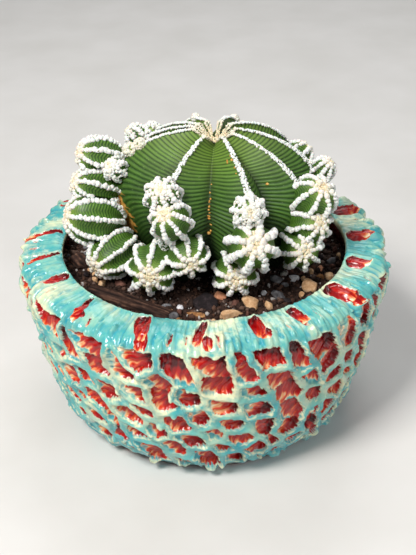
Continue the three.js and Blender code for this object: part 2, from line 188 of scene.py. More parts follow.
def bezier(start, start_pull, end_pull, end, steps=40):
    share = np.linspace(0, 1, steps + 1)[:, None]
    rest = 1 - share
    ends = rest**3 * np.array(start) + share**3 * np.array(end)
    pulls = 3 * rest**2 * share * np.array(start_pull) + 3 * rest * share**2 * np.array(end_pull)
    return ends + pulls


def even(line, spacing):
    """The same line with its points at an even spacing."""
    along = distances(line)
    count = max(2, round(along[-1] / spacing))
    return interpolated(np.linspace(0, along[-1], count + 1), along, line)


def around(azimuth, radius, height):
    turn = np.radians(azimuth)
    return np.stack(np.broadcast_arrays(radius * np.cos(turn), radius * np.sin(turn), height), -1)


def direction(azimuth, elevation):
    return around(azimuth, math.cos(math.radians(elevation)), math.sin(math.radians(elevation)))


def axes_along(axis):
    """Three axes at right angles, in rows, with the last along `axis`."""
    side = np.cross((0, 0, 1), axis)
    if np.linalg.norm(side) < 0.01:
        side = np.array((1.0, 0, 0))
    side = side / np.linalg.norm(side)
    return np.stack([side, np.cross(axis, side), axis])


def grid_faces(rows, columns, closed=False):
    """Quads over rows of points that go round anticlockwise, from the top row down."""
    row = np.arange(rows if closed else rows - 1)[:, None]
    column = np.arange(columns)[None, :]
    below = (row + 1) % rows * columns
    after = (column + 1) % columns
    here = row * columns
    corners = [here + column, below + column, below + after, here + after]
    return np.stack(corners, -1).reshape(-1, 4)


def capped(rings, top, bottom):
    """Points and faces of rings of points with a single point at each end."""
    rows, columns = rings.shape[:2]
    points = np.concatenate([rings.reshape(-1, 3), [top, bottom]])
    ring = np.arange(columns)
    first = rows * columns
    lowest = ring + first - columns
    top_fan = np.stack([np.full(columns, first), ring, np.roll(ring, -1)], -1)
    bottom_fan = np.stack([np.full(columns, first + 1), np.roll(lowest, -1), lowest], -1)
    return points, [grid_faces(rows, columns), top_fan, bottom_fan]


def ball(detail):
    """Points and triangles of an even ball of radius 1."""
    bpy.ops.mesh.primitive_ico_sphere_add(subdivisions=detail, radius=1)
    made = bpy.context.object
    mesh = made.data
    points = np.array([tuple(vertex.co) for vertex in mesh.vertices])
    faces = np.array([tuple(face.vertices) for face in mesh.polygons])
    bpy.data.objects.remove(made)
    bpy.data.meshes.remove(mesh)
    return points, faces


def copies(shape, centres, sizes, seed, roughness, lump):
    """Many small lumps of one shape, each at its own centre and size, with its own dents."""
    points, faces = shape
    count = len(centres)
    sizes = np.broadcast_to(np.asarray(sizes, float).reshape(count, -1), (count, 3))
    offsets = centres[:, None] * 7.3 + points[None] * lump
    bumps = 1 + roughness * noise(offsets, 1.0, seed)
    placed = centres[:, None] + points[None] * sizes[:, None] * bumps[..., None]
    shifted = faces[None] + (np.arange(count) * len(points))[:, None, None]
    return placed.reshape(-1, 3), shifted.reshape(-1, faces.shape[1])


def add_piece(name, points, faces, material, values=None, replaces=()):
    """A smooth mesh that rides on the frame, from points in millimetres."""
    groups = faces if isinstance(faces, list) else [faces]
    sides = np.concatenate([np.full(len(group), group.shape[1]) for group in groups])
    starts = np.concatenate([[0], np.cumsum(sides)[:-1]])
    corners = np.concatenate([group.ravel() for group in groups])
    mesh = bpy.data.meshes.new(name)
    mesh.vertices.add(len(points))
    mesh.vertices.foreach_set("co", (points * MM).ravel().astype(np.float32))
    mesh.loops.add(len(corners))
    mesh.loops.foreach_set("vertex_index", corners.astype(np.int32))
    mesh.polygons.add(len(sides))
    mesh.polygons.foreach_set("loop_start", starts.astype(np.int32))
    mesh.update(calc_edges=True)
    mesh.shade_smooth()
    for title, numbers in (values or {}).items():
        layer = mesh.attributes.new(title, "FLOAT", "POINT")
        layer.data.foreach_set("value", np.asarray(numbers).ravel().astype(np.float32))
    mesh.materials.append(material)
    piece = bpy.data.objects.new(name, mesh)
    bpy.context.scene.collection.objects.link(piece)
    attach(piece, "root")
    if replaces:
        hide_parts(*replaces)


# ---------------------------------------------------------------- materials


def colour(red, green, blue):
    """A linear colour from display values of 0 to 255."""
    def linear(value):
        share = value / 255
        return share / 12.92 if share <= 0.04045 else ((share + 0.055) / 1.055) ** 2.4
    return (linear(red), linear(green), linear(blue), 1)


class Finish:
    """A material built from nodes. Each method adds one node and gives back its output."""

    def __init__(self, name, **settings):
        self.material = bpy.data.materials.new(name)
        self.material.use_nodes = True
        self.tree = self.material.node_tree
        self.shader = self.tree.nodes["Principled BSDF"]
        self.set(self.shader, settings)
        self.place = self.add("ShaderNodeTexCoord").outputs["Object"]

    def set(self, node, inputs):
        for title, value in inputs.items():
            socket = node.inputs[title.replace("_", " ") if isinstance(title, str) else title]
            if isinstance(value, bpy.types.NodeSocket):
                self.tree.links.new(value, socket)
            else:
                socket.default_value = value

    def add(self, kind, inputs=None, **settings):
        node = self.tree.nodes.new(kind)
        for title, value in settings.items():
            setattr(node, title, value)
        self.set(node, inputs or {})
        return node

    def value(self, title):
        return self.add("ShaderNodeAttribute", attribute_name=title).outputs["Fac"]

    def noise(self, size, detail=3, roughness=0.5):
        """Noise from 0 to 1 with lumps about `size` millimetres across."""
        inputs = {"Vector": self.place, "Scale": 1 / (size * MM), "Detail": detail, "Roughness": roughness}
        return self.add("ShaderNodeTexNoise", inputs).outputs[0]

    def ramp(self, value, *stops):
        node = self.add("ShaderNodeValToRGB", {"Fac": value})
        elements = node.color_ramp.elements
        while len(elements) < len(stops):
            elements.new(0.5)
        for element, (place, shade) in zip(elements, stops):
            element.position = place
            element.color = shade if isinstance(shade, tuple) else (shade, shade, shade, 1)
        return node.outputs["Color"]

    def mix(self, share, first, second):
        return self.add("ShaderNodeMix", {0: share, 6: first, 7: second}, data_type="RGBA").outputs[2]

    def calculate(self, first, second, way="ADD"):
        return self.add("ShaderNodeMath", {0: first, 1: second}, operation=way).outputs[0]

    def relief(self, height, distance, strength=1.0):
        """Fine relief from a height of 0 to 1 over `distance` millimetres."""
        inputs = {"Height": height, "Distance": distance * MM, "Strength": strength}
        self.set(self.shader, {"Normal": self.add("ShaderNodeBump", inputs).outputs[0]})

    def done(self, base, roughness=None):
        self.set(self.shader, {"Base Color": base})
        if roughness is not None:
            self.set(self.shader, {"Roughness": roughness})
        return self.material


def glaze_finish():
    """Glossy turquoise that breaks to cream on edges, over deep red in the carved hollows, with painted
    shade and painted highlight on the red.
    """
    finish = Finish("glaze", Specular_IOR_Level=0.4, Coat_Weight=0.3, Coat_Roughness=0.06)
    broad = finish.noise(16, 3)
    fine = finish.noise(3, 4, 0.6)
    turquoise = finish.ramp(broad, (0.36, colour(44, 148, 156)), (0.47, colour(82, 174, 170)),
                            (0.56, colour(142, 196, 172)), (0.66, colour(212, 212, 174)))
    mottled = finish.ramp(fine, (0.35, colour(66, 166, 170)), (0.62, colour(142, 194, 176)))
    turquoise = finish.mix(0.4, turquoise, mottled)
    pooled = finish.mix(finish.calculate(finish.value("pool"), 0.8, "MULTIPLY"), turquoise,
                        colour(40, 150, 170))
    uneven = finish.calculate(fine, 0.5, "SUBTRACT")
    broken = finish.ramp(finish.calculate(finish.value("edge"), uneven), (0.25, 0.0), (0.75, 1.0))
    creamy = finish.mix(broken, pooled, colour(222, 226, 188))
    # Painted shade and light on the red: near black in the deep crease of each hollow as painted shade, pale
    # orange and cream along its streaks as painted highlight, and the red's own thinning to cream towards
    # its shallow end.
    red = finish.ramp(finish.value("streak"), (0.0, colour(70, 2, 6)), (0.3, colour(148, 4, 8)),
                      (0.6, colour(178, 12, 8)), (0.74, colour(214, 74, 34)),
                      (0.9, colour(238, 178, 120)), (1.0, colour(246, 226, 190)))
    carved = finish.value("red")
    hollow = finish.ramp(finish.calculate(carved, uneven), (0.42, 0.0), (0.56, 1.0))
    thin = finish.ramp(carved, (0.2, 0.0), (0.5, 1.0))
    flushed = finish.mix(finish.calculate(thin, 0.6, "MULTIPLY"), creamy, colour(238, 196, 160))
    outside = finish.mix(hollow, flushed, red)
    clay = finish.ramp(finish.noise(7, 4), (0.35, colour(74, 10, 8)), (0.7, colour(134, 26, 18)))
    base = finish.mix(finish.value("inside"), outside, clay)
    finish.relief(finish.noise(1.6, 4, 0.6), 0.35, 0.5)
    return finish.done(base, finish.ramp(fine, (0.3, 0.12), (0.7, 0.26)))


def skin_finish(name, deep, mid, light):
    """Waxy green skin: deep between the cross ridges as painted shade and paler on them as painted light."""
    finish = Finish(name, Specular_IOR_Level=0.35)
    ridge = finish.value("ridge")
    # The ridge value paints shade and light: deep green between the cross ridges, pale green on their tops.
    green = finish.ramp(ridge, (0.0, deep), (0.64, mid), (1.0, light))
    patchy = finish.noise(9, 4, 0.55)
    green = finish.mix(finish.ramp(patchy, (0.35, 0.0), (0.75, 0.5)), green, deep)
    # Painted shade: the shade value darkens the green towards near black, low on the stem, down its grooves
    # and down the grooves of the pups.
    shaded = finish.mix(finish.value("shade"), green, colour(14, 26, 11))
    young = finish.mix(finish.value("young"), shaded, colour(150, 178, 78))
    cork = finish.ramp(finish.noise(1.8, 5, 0.7), (0.3, colour(150, 96, 38)),
                       (0.5, colour(208, 152, 68)), (0.72, colour(238, 202, 130)))
    base = finish.mix(finish.value("cork"), young, cork)
    specks = finish.ramp(finish.noise(0.7, 2, 0.5), (0.68, 0.0), (0.76, 0.35))
    base = finish.mix(specks, base, colour(176, 190, 140))
    finish.relief(finish.noise(0.8, 3, 0.6), 0.12, 0.5)
    return finish.done(base, finish.ramp(patchy, (0.3, 0.42), (0.7, 0.6)))


def wool_finish():
    """Matt white wool, cream towards the growing tips."""
    finish = Finish("wool", Roughness=0.95, Specular_IOR_Level=0.1, Subsurface_Weight=0.12,
                    Subsurface_Scale=0.8 * MM, Sheen_Weight=0.15)
    white = finish.ramp(finish.noise(1.1, 4, 0.65), (0.25, colour(186, 184, 178)),
                        (0.5, colour(236, 236, 232)), (0.75, colour(252, 252, 248)))
    cream = finish.ramp(finish.noise(0.9, 4, 0.6), (0.3, colour(206, 184, 140)),
                        (0.65, colour(246, 232, 204)))
    finish.relief(finish.noise(0.45, 4, 0.7), 0.25, 0.8)
    return finish.done(finish.mix(finish.value("cream"), white, cream))


def rock_finish(name, dark, mid, pale):
    """Rough stone in three tones of one colour."""
    finish = Finish(name, Specular_IOR_Level=0.3)
    tone = finish.ramp(finish.noise(2.2, 5, 0.65), (0.28, dark), (0.5, mid), (0.74, pale))
    specks = finish.ramp(finish.noise(0.6, 2), (0.64, 0.0), (0.72, 0.5))
    finish.relief(finish.noise(0.9, 4, 0.7), 0.4, 0.7)
    return finish.done(finish.mix(specks, tone, dark), 0.85)


def soil_finish():
    """Near black potting mix with dark brown, grey and white bits."""
    finish = Finish("soil", Specular_IOR_Level=0.25)
    bits = finish.ramp(finish.value("tone"), (0.0, colour(24, 17, 15)), (0.4, colour(58, 39, 32)),
                       (0.6, colour(110, 74, 56)), (0.78, colour(128, 112, 104)),
                       (0.9, colour(226, 220, 216)))
    grain = finish.ramp(finish.noise(1.2, 4, 0.7), (0.3, colour(22, 15, 13)), (0.7, colour(84, 60, 48)))
    finish.relief(finish.noise(0.7, 4, 0.7), 0.5, 0.8)
    return finish.done(finish.mix(0.4, bits, grain), 0.8)


def bark_finish():
    """Dark brown bark with grain along each piece."""
    finish = Finish("bark", Specular_IOR_Level=0.2)
    grain = finish.ramp(finish.calculate(finish.value("grain"), finish.noise(2.5, 4, 0.6), "MULTIPLY"),
                        (0.08, colour(30, 20, 17)), (0.3, colour(66, 46, 38)), (0.6, colour(112, 82, 66)))
    finish.relief(finish.noise(0.8, 4, 0.7), 0.4, 0.8)
    return finish.done(grain, 0.85)


GLAZE = glaze_finish()
# Deep, middle and pale green of each skin: the deep green is painted shade between the cross ridges, the
# pale green painted light on their tops.
STEM_SKIN = skin_finish("stem_skin", colour(8, 24, 6), colour(56, 96, 28), colour(82, 118, 46))
PUP_SKIN = skin_finish("pup_skin", colour(18, 50, 8), colour(58, 99, 26), colour(110, 148, 58))
WOOL = wool_finish()
SOIL = soil_finish()
BARK = bark_finish()
# Dark, middle and pale tone of each kind of stone.
ROCK_TONES = {
    "charcoal": ((12, 9, 10), (30, 22, 24), (64, 54, 56)),
    "wood": ((96, 60, 34), (156, 108, 66), (200, 154, 104)),
    "tan": ((168, 122, 84), (206, 164, 122), (232, 202, 166)),
    "peach": ((150, 92, 64), (198, 138, 104), (224, 176, 144)),
    "brown": ((52, 32, 28), (96, 62, 52), (138, 98, 84)),
    "grey": ((58, 56, 58), (104, 103, 106), (158, 156, 160)),
    "perlite": ((150, 146, 150), (222, 220, 224), (246, 246, 248)),
}
ROCKS = {slot: rock_finish(slot, *[colour(*tone) for tone in tones]) for slot, tones in ROCK_TONES.items()}

# ---------------------------------------------------------------- the bowl

POT_COLUMNS = 1240
OUTER_SPACING = 0.44
INNER_SPACING = 2.4
GOUGES = 19  # red radial hollows round the rim
CHAINS = 20  # leaning columns of large hollows down the wall, each followed by one of small hollows
WALL_TOP = 27  # distance from the lip down to the first hollows of the wall
WALL_LEAN = 0.29  # degrees round the wall for each millimetre down it
CELL_TURN = 38  # degrees that a hollow leans to the right as it goes down
CELL_STRETCH = 1.22  # how much longer a hollow is along its lean
CELL_CORNER = 2.2  # sharpness of the corners of a hollow
WEB_WIDTH = 1.55  # half the clay left between two hollows
LARGE_DEPTH = 4.3
SMALL_DEPTH = 3.2
WALL_KNOBS = 150
RIM_STEP = 3.2  # height of the steps between the slabs of the rim
ROW_STEP = 11.5  # between the first two hollows of a column; less towards the foot


def outer_line():
    """Radius and height from the lip outwards, over the shoulder and down to the foot."""
    lip = bezier((LIP_RADIUS, POT_HEIGHT - 1.5), (LIP_RADIUS, POT_HEIGHT - 0.5),
                 (LIP_RADIUS + 0.4, POT_HEIGHT), (LIP_RADIUS + 1.2, POT_HEIGHT), 8)
    shoulder = bezier((LIP_RADIUS + 7.7, POT_HEIGHT - 0.4), (POT_RADIUS - 3, POT_HEIGHT - 1),
                      (POT_RADIUS + 0.6, POT_HEIGHT - 4), (POT_RADIUS, SHOULDER_HEIGHT))
    wall = bezier((POT_RADIUS, SHOULDER_HEIGHT), (POT_RADIUS - 6.3, SHOULDER_HEIGHT - 28),
                  (FOOT_RADIUS + 13, 14), (FOOT_RADIUS, FOOT_ROUNDING))
    return np.concatenate([lip, shoulder, wall[1:]])


def inner_line():
    """On from the foot: across the underside, up the drain hole, over the floor and up to the lip."""
    corner = bezier((FOOT_RADIUS, FOOT_ROUNDING), (FOOT_RADIUS - 0.5, 1), (FOOT_RADIUS - 1.5, 0),
                    (FOOT_RADIUS - FOOT_ROUNDING, 0), 6)
    waist = (FLOOR_THICKNESS + SHOULDER_HEIGHT) / 2 + 6
    drain = np.array([(DRAIN_RADIUS, 0), (DRAIN_RADIUS, FLOOR_THICKNESS)])
    bowl = bezier((CAVITY_RADIUS - 28, FLOOR_THICKNESS), (CAVITY_RADIUS - 12, FLOOR_THICKNESS),
                  (CAVITY_RADIUS, FLOOR_THICKNESS + 14), (CAVITY_RADIUS, waist))
    under_rim = bezier((CAVITY_RADIUS, waist), (CAVITY_RADIUS, SOIL_HEIGHT - 4),
                       (LIP_RADIUS + 0.6, SOIL_HEIGHT), (LIP_RADIUS, POT_HEIGHT - 1.5))
    return np.concatenate([corner, drain, bowl, under_rim[1:]])


class Carving:
    """The bowl's outside unrolled: azimuth across, and distance from the lip down the rows."""

    def __init__(self, line):
        self.radius = line[:, 0][:, None]
        self.down = distances(line)[:, None]
        self.azimuth = (np.arange(POT_COLUMNS) * 360 / POT_COLUMNS)[None, :]
        self.points = around(self.azimuth, self.radius, line[:, 1][:, None])
        shape = self.points.shape[:2]
        self.hollow, self.raised, self.red, self.streak, self.lip = np.zeros((5, *shape))

    def window(self, azimuth, down, reach):
        """Rows and columns near a place, with their distances across and down from it."""
        rows = np.flatnonzero(np.abs(self.down[:, 0] - down) < reach)
        middle = self.radius[rows[len(rows) // 2], 0]
        width = min(int(reach / middle / 2 / math.pi * POT_COLUMNS) + 1, POT_COLUMNS // 2)
        centre = int(round(azimuth / 360 * POT_COLUMNS))
        columns = np.arange(centre - width, centre + width + 1) % POT_COLUMNS
        turned = (self.azimuth[0, columns] - azimuth + 180) % 360 - 180
        across = np.radians(turned)[None, :] * self.radius[rows]
        return np.ix_(rows, columns), across, self.down[rows] - down + 0 * across

    def scoop(self, azimuth, down, length, width, turn, depth, red=1.0, feather=0.0,
              taper=0.0, burr=0.0, seed=0):
        """One cut of the carving tool. Length and width are halves.

        The floor of the cut rises towards the `feather` direction, an angle from its length.
        """
        cells, across, below = self.window(azimuth, down, 1.7 * max(length, width) + 1)
        lean = math.radians(turn)
        along = below * math.cos(lean) + across * math.sin(lean)
        side = across * math.cos(lean) - below * math.sin(lean)
        warp = noise(self.points[cells], 3.2, 11 + seed, 2)
        along = along + 0.9 * warp
        side = side + 0.7 * noise(self.points[cells], 2.6, 47 + seed, 2)
        widths = width * (1 + taper * along / length)
        share = np.abs(side / np.maximum(widths, 0.3))
        out = (share**3 + np.abs(along / length) ** 3) ** (1 / 3)
        inside = smooth(1.04, 0.96, out)
        flow_turn = math.radians(feather)
        flow = along * math.cos(flow_turn) + side * math.sin(flow_turn)
        cross = side * math.cos(flow_turn) - along * math.sin(flow_turn)
        reach = math.hypot(length * math.cos(flow_turn), width * math.sin(flow_turn))
        slope = np.clip((flow / reach + 1) / 2, 0, 1)
        grain = np.sin(cross * 2.3 + 2.2 * warp) + 0.6 * np.sin(cross * 5.7 + 3 * warp)
        cut = depth * (1 - 0.8 * slope) * smooth(1.02, 0.8, out) + 0.15 * grain * min(1, depth)
        self.hollow[cells] = np.minimum(self.hollow[cells], -cut * inside)
        tint = red * smooth(1.02, 0.94, out)
        fresh = tint > self.red[cells]
        self.red[cells] = np.maximum(self.red[cells], tint)
        # Painted shade and highlight for the red: darkest in the deep crease, paler along the tool streaks
        # as painted highlight, and rising to cream where the red thins at the shallow end.
        shade = 0.3 + 0.16 * grain + 0.65 * slope**2.5 - 0.35 * smooth(0.3, 0.0, slope) + 0.2 * warp
        self.streak[cells] = np.where(fresh, np.clip(shade, 0, 1), self.streak[cells])
        lip = np.exp(-(((out - 1.12) / 0.12) ** 2)) * burr * smooth(0.9, 0.3, slope)
        self.raised[cells] = np.maximum(self.raised[cells], lip)

    def knob(self, azimuth, down, length, width, height, seed=0):
        """A rounded lump of glaze and clay that stands out."""
        cells, across, below = self.window(azimuth, down, 1.6 * max(length, width) + 1)
        warp = noise(self.points[cells], 3, 91 + seed, 2)
        out = np.sqrt((across / width) ** 2 + (below / length) ** 2) + 0.4 * warp
        self.raised[cells] = np.maximum(self.raised[cells], height * smooth(1.15, 0.25, out))


def blurred(field, passes):
    """The field smoothed over its neighbours, round the columns and held at the end rows."""
    for _ in range(passes):
        field = (np.roll(field, 1, 1) + field + np.roll(field, -1, 1)) / 3
        padded = np.concatenate([field[:1], field, field[-1:]])
        field = (padded[:-2] + padded[1:-1] + padded[2:]) / 3
    return field


def carve_rim(carving, draw):
    """Red gouges and thin slits across the flat rim, and the steps of its overlapping slabs."""
    places = (np.arange(GOUGES) + draw.uniform(-0.22, 0.22, GOUGES)) * 360 / GOUGES
    gap = 360 / GOUGES
    step = np.zeros_like(carving.hollow)
    for index, azimuth in enumerate(places):
        length = draw.uniform(5.4, 8.2)
        width = draw.uniform(2.3, 3.3)
        down = draw.uniform(1.8, 3.4) + length
        carving.scoop(azimuth, down, length, width, draw.uniform(-20, 20), 1.9, feather=-20,
                      taper=-0.12, burr=0.5, seed=index)
        if draw.uniform() < 0.5:
            carving.scoop(azimuth + draw.uniform(1, 2.5), down + length * 0.9, length * 0.45,
                          width * 0.9, draw.uniform(-30, 30), 1.3, seed=index + 50)
        for slit in range(3):
            place = azimuth + gap * (0.3 + 0.22 * slit) + draw.uniform(-0.8, 0.8)
            carving.scoop(place, draw.uniform(11.5, 15.5), draw.uniform(1.8, 3.4), draw.uniform(0.45, 0.8),
                          draw.uniform(-14, 14), 0.9, red=draw.choice([0, 0, 0.5]), burr=0.25,
                          seed=index + 100 * slit)
        turned = (carving.azimuth - azimuth) % 360 / gap
        step = step + np.where(turned < 1, 0.5 - turned, 0)
    band = smooth(1.0, 5.0, carving.down) * smooth(26.0, 18.0, carving.down)
    return RIM_STEP * blurred(step, 1) * band


def wall_cells(draw, foot):
    """The middles of the wall's hollows in leaning columns, with a shape for each of them."""
    columns = 2 * CHAINS
    steps = np.cumsum(np.linspace(ROW_STEP, ROW_STEP * 0.78, 12))
    rows = np.append(0, steps[steps < foot - WALL_TOP - 6])
    large = (np.arange(columns) % 2 == 0)[:, None]
    size = (columns, len(rows))
    down = WALL_TOP + rows + np.where(large, 0, 0.5 * ROW_STEP) + draw.uniform(-2.3, 2.3, size)
    place = np.arange(columns)[:, None] + draw.uniform(-0.26, 0.26, size)
    return {
        "down": down,
        "azimuth": place * 360 / columns + WALL_LEAN * (down - WALL_TOP),
        "weight": np.where(large, 9, -7) + draw.uniform(-8, 8, size),
        "joined": draw.uniform(0, 1, size) < np.where(large, 0.42, 0.15),
        "depth": np.where(large, LARGE_DEPTH, SMALL_DEPTH) * draw.uniform(0.75, 1.15, size),
        "feather": draw.uniform(150, 260, size),
        "reach": np.where(large, 6.2, 4.3) + 0 * down,
    }


def nearest_cells(carving, rows, cells):
    """For each point of some rows: its hollow, its place in it, and its distance from the border."""
    down = carving.down[rows]
    radius = carving.radius[rows]
    points = carving.points[rows]
    columns, count = cells["down"].shape
    home = np.round((carving.azimuth - WALL_LEAN * (down - WALL_TOP)) * columns / 360).astype(int)
    level = np.abs(cells["down"][0][None, :] - down).argmin(axis=1)[:, None] + 0 * home
    shift_across = 1.1 * noise(points, 4.5, 201, 2)
    shift_down = 1.1 * noise(points, 4.5, 203, 2)
    lean = math.radians(CELL_TURN)
    found = []
    for column_step, row_step in itertools.product(range(-2, 3), repeat=2):
        column = (home + column_step) % columns
        row = np.clip(level + row_step, 0, count - 1)
        turned = (carving.azimuth - cells["azimuth"][column, row] + 180) % 360 - 180
        across = np.radians(turned) * radius + shift_across
        below = down - cells["down"][column, row] + shift_down
        far = np.where(row == level + row_step, 0, 1e6)
        long = (below * math.cos(lean) + across * math.sin(lean)) / CELL_STRETCH
        short = (across * math.cos(lean) - below * math.sin(lean)) * CELL_STRETCH
        apart = long**2 + short**2 - cells["weight"][column, row] + far
        found.append((apart, long, short, column, row))
    apart, long, short, column, row = [np.stack(layers) for layers in zip(*found)]
    nearest = apart.argmin(axis=0)[None]
    own = [np.take_along_axis(layer, nearest, 0) for layer in (apart, long, short, column, row)]
    between = np.hypot(long - own[1], short - own[2])
    upper = np.minimum(row, own[4])
    same = (column == own[3]) & (row == own[4])
    merged = (column == own[3]) & (np.abs(row - own[4]) == 1) & cells["joined"][column, upper]
    border = (apart - own[0]) / (2 * np.maximum(between, 0.1))
    border = np.where(same | merged, 99, border)
    rounded = -np.log(np.exp(-CELL_CORNER * border).sum(axis=0)) / CELL_CORNER
    along = own[1][0] * CELL_STRETCH
    side = own[2][0] / CELL_STRETCH
    across = along * math.sin(lean) + side * math.cos(lean)
    below = along * math.cos(lean) - side * math.sin(lean)
    return rounded, across, below, own[3][0], own[4][0]


def carve_wall(carving, draw):
    """Angular hollows packed down the wall, with a sharp web of clay between them."""
    foot = carving.down[-1, 0]
    rows = np.flatnonzero(carving.down[:, 0] > WALL_TOP - 12)
    cells = wall_cells(draw, foot)
    border, across, below, column, row = nearest_cells(carving, rows, cells)
    points = carving.points[rows]
    down = carving.down[rows]
    web = WEB_WIDTH + 0.9 * noise(points, 8, 205, 2)
    ends = np.minimum(down - WALL_TOP + 6.5, foot - 7 - down) + 2.2 * noise(points, 7, 211, 2)
    feather = np.radians(cells["feather"][column, row])
    flow = across * np.cos(feather) - below * np.sin(feather)
    cross = across * np.sin(feather) + below * np.cos(feather)
    slope = np.clip(0.5 + flow / (2 * cells["reach"][column, row]), 0, 1)
    warp = noise(points, 3.2, 207, 2)
    grain = np.abs(np.sin(cross * 0.9 + 1.4 * warp)) + 0.5 * np.abs(np.sin(cross * 2.3 + 2 * warp)) - 0.9
    torn = 0.45 * noise(points, 1.8, 213, 2) + 0.55 * grain
    margin = np.minimum(border - web, ends) + torn
    depth = cells["depth"][column, row] * (1 - 0.8 * slope)
    cut = depth * smooth(0, 0.9, margin) + 0.55 * grain * smooth(0.2, 1.2, margin)
    carving.hollow[rows] = np.minimum(carving.hollow[rows], -cut * (margin > 0))
    tint = smooth(0.0, 0.4, margin) * (1 - 0.85 * smooth(0.74, 0.98, slope + 0.3 * warp))
    carving.red[rows] = np.maximum(carving.red[rows], tint)
    # Painted shade and highlight for the red: darkest in the deep crease, paler along the tool streaks as
    # painted highlight, and rising to cream where the red thins at the shallow end.
    shade = 0.38 + 0.32 * grain + 0.75 * slope**2.6 - 0.38 * smooth(0.3, 0.0, slope) + 0.25 * warp
    carving.streak[rows] = np.where(margin > 0, np.clip(shade, 0, 1), carving.streak[rows])
    band = smooth(WALL_TOP - 11, WALL_TOP - 3, down)
    broken = smooth(-0.5, 0.6, noise(points, 6, 209, 2))
    peak = (0.5 + 1.9 * broken) * (1 - np.clip((border + 0.6) / 2.8, 0, 1)) * band
    carving.raised[rows] = np.maximum(carving.raised[rows], peak)
    carving.lip[rows] = np.exp(-(((margin + 0.3) / 0.3) ** 2)) * band * (0.35 + 0.65 * broken)
    for _ in range(WALL_KNOBS):
        carving.knob(draw.uniform(0, 360), draw.uniform(WALL_TOP - 4, foot - 6), 2.4, 1.9,
                     draw.uniform(0.8, 2.4), draw.integers(1000))


def knob_edges(carving, draw):
    """Strips of clay over the shoulder and thick drips along the bottom of the wall."""
    foot = carving.down[-1, 0]
    # Distance down, number, half length, half width and height of the knobs in each row.
    rows = [(16.5, 62, 4.8, 1.3, 1.8), (21.0, 54, 3.6, 1.7, 2.2), (foot - 6.5, 36, 3.6, 3.6, 3.0),
            (foot - 12, 42, 3.2, 3.0, 1.8)]
    for down, count, length, width, height in rows:
        for index in range(count):
            azimuth = (index + draw.uniform(-0.4, 0.4)) * 360 / count
            carving.knob(azimuth, down + draw.uniform(-2.2, 2.2), length * draw.uniform(0.7, 1.2),
                         width * draw.uniform(0.7, 1.3), height * draw.uniform(0.35, 1.15), index)


def make_pot():
    outer = even(outer_line(), OUTER_SPACING)
    inner = even(inner_line(), INNER_SPACING)[1:-1]
    carving = Carving(outer)
    draw = np.random.default_rng(5)
    steps = carve_rim(carving, draw)
    carve_wall(carving, draw)
    knob_edges(carving, draw)
    lumps = 0.8 * noise(carving.points, 14, 3, 2) + 0.35 * noise(carving.points, 3.5, 5, 3)
    on_rim = smooth(24, 16, carving.down)
    for reach, strength in ((40, 0.6), (90, 0.45)):
        brushed = around(2 * carving.azimuth, reach, 0.12 * carving.down)
        lumps = lumps + strength * noise(brushed, 2.2, 7, 2) * on_rim
    height = steps + lumps + np.where(carving.hollow < 0, carving.hollow, carving.raised)
    foot = carving.down[-1, 0]
    held = smooth(0.4, 2.4, carving.down) * smooth(foot, foot - 4, carving.down)
    height = height * held
    tangent = unit(np.gradient(outer, axis=0))
    out = around(carving.azimuth, -tangent[:, 1][:, None], tangent[:, 0][:, None])
    outside = carving.points + out * height[..., None]
    outside[..., 2] = np.maximum(outside[..., 2], 0)
    relief = height - blurred(height, 9)
    inside = around(carving.azimuth, inner[:, 0][:, None], inner[:, 1][:, None])
    points = np.concatenate([outside, inside])
    blank = np.zeros(inside.shape[:2])
    edge = 0.35 * np.clip(relief / 1.3, 0, 1) + 0.7 * carving.lip + 0.8 * smooth(1.6, 0.4, carving.down)
    pale = smooth(-0.05, 0.45, noise(carving.points, 17, 215, 2)) * smooth(foot - 20, WALL_TOP, carving.down)
    edge = edge + 0.55 * pale
    pool = np.clip(-relief / 0.4, 0, 1) + 0.6 * smooth(34, 8, carving.points[..., 2])
    values = {
        "edge": np.concatenate([edge, blank]),
        "pool": np.concatenate([np.clip(pool, 0, 1), blank]),
        "red": np.concatenate([carving.red, blank]),
        "streak": np.concatenate([carving.streak, blank]),
        "inside": np.concatenate([np.zeros_like(height), blank + 1]),
    }
    faces = grid_faces(len(points), POT_COLUMNS, closed=True)
    add_piece("carved_bowl", points.reshape(-1, 3), faces, GLAZE, values, ["ceramic_pot"])


# ---------------------------------------------------------------- the stem

STEM_SPACING = 0.34
STEM_COLUMNS = 380
RIDGE_PITCH = 2.0
RIDGE_HEIGHT = 0.62
RIDGE_SAG = 15  # how far a ridge drops from groove to crest, low on the stem
WIDE_FACE = 0  # between the first rib and its groove, turned to the front
WIDE_FACE_SAG = 36


def stem_line(angle, reach, crown, crown_height, foot):
    """Radius and height down the stem at angles from the crown."""
    turn = np.radians(angle)
    upper = crown + (reach - crown) * np.sin(turn) ** CROWN_FLATNESS
    lower = foot + (reach - foot) * np.sin(turn)
    drop = np.cos(turn) / math.cos(math.radians(STEM_FOOT_ANGLE))
    high = WIDEST_HEIGHT + (crown_height - WIDEST_HEIGHT) * np.cos(turn)
    below = angle > 90
    return np.where(below, lower, upper), np.where(below, WIDEST_HEIGHT * (1 - drop), high)


def crest_line(angle, rib):
    radius, height = stem_line(angle, STEM_RADIUS + RIBS[rib][1], CROWN_RADIUS, STEM_RISE, CREST_FOOT)
    return around(RIBS[rib][0], radius, height)


def rib_span(rib):
    """Degrees from a rib's crest to the next one."""
    return (RIBS[(rib + 1) % len(RIBS)][0] - RIBS[rib][0]) % 360


def groove_line(angle, rib):
    azimuth, _, share, shallow = RIBS[rib]
    reach = STEM_RADIUS - GROOVE_DEPTH + shallow
    radius, height = stem_line(angle, reach, GROOVE_CROWN, STEM_RISE - CROWN_DIP, GROOVE_FOOT)
    return around(azimuth + rib_span(rib) * share, radius, height)


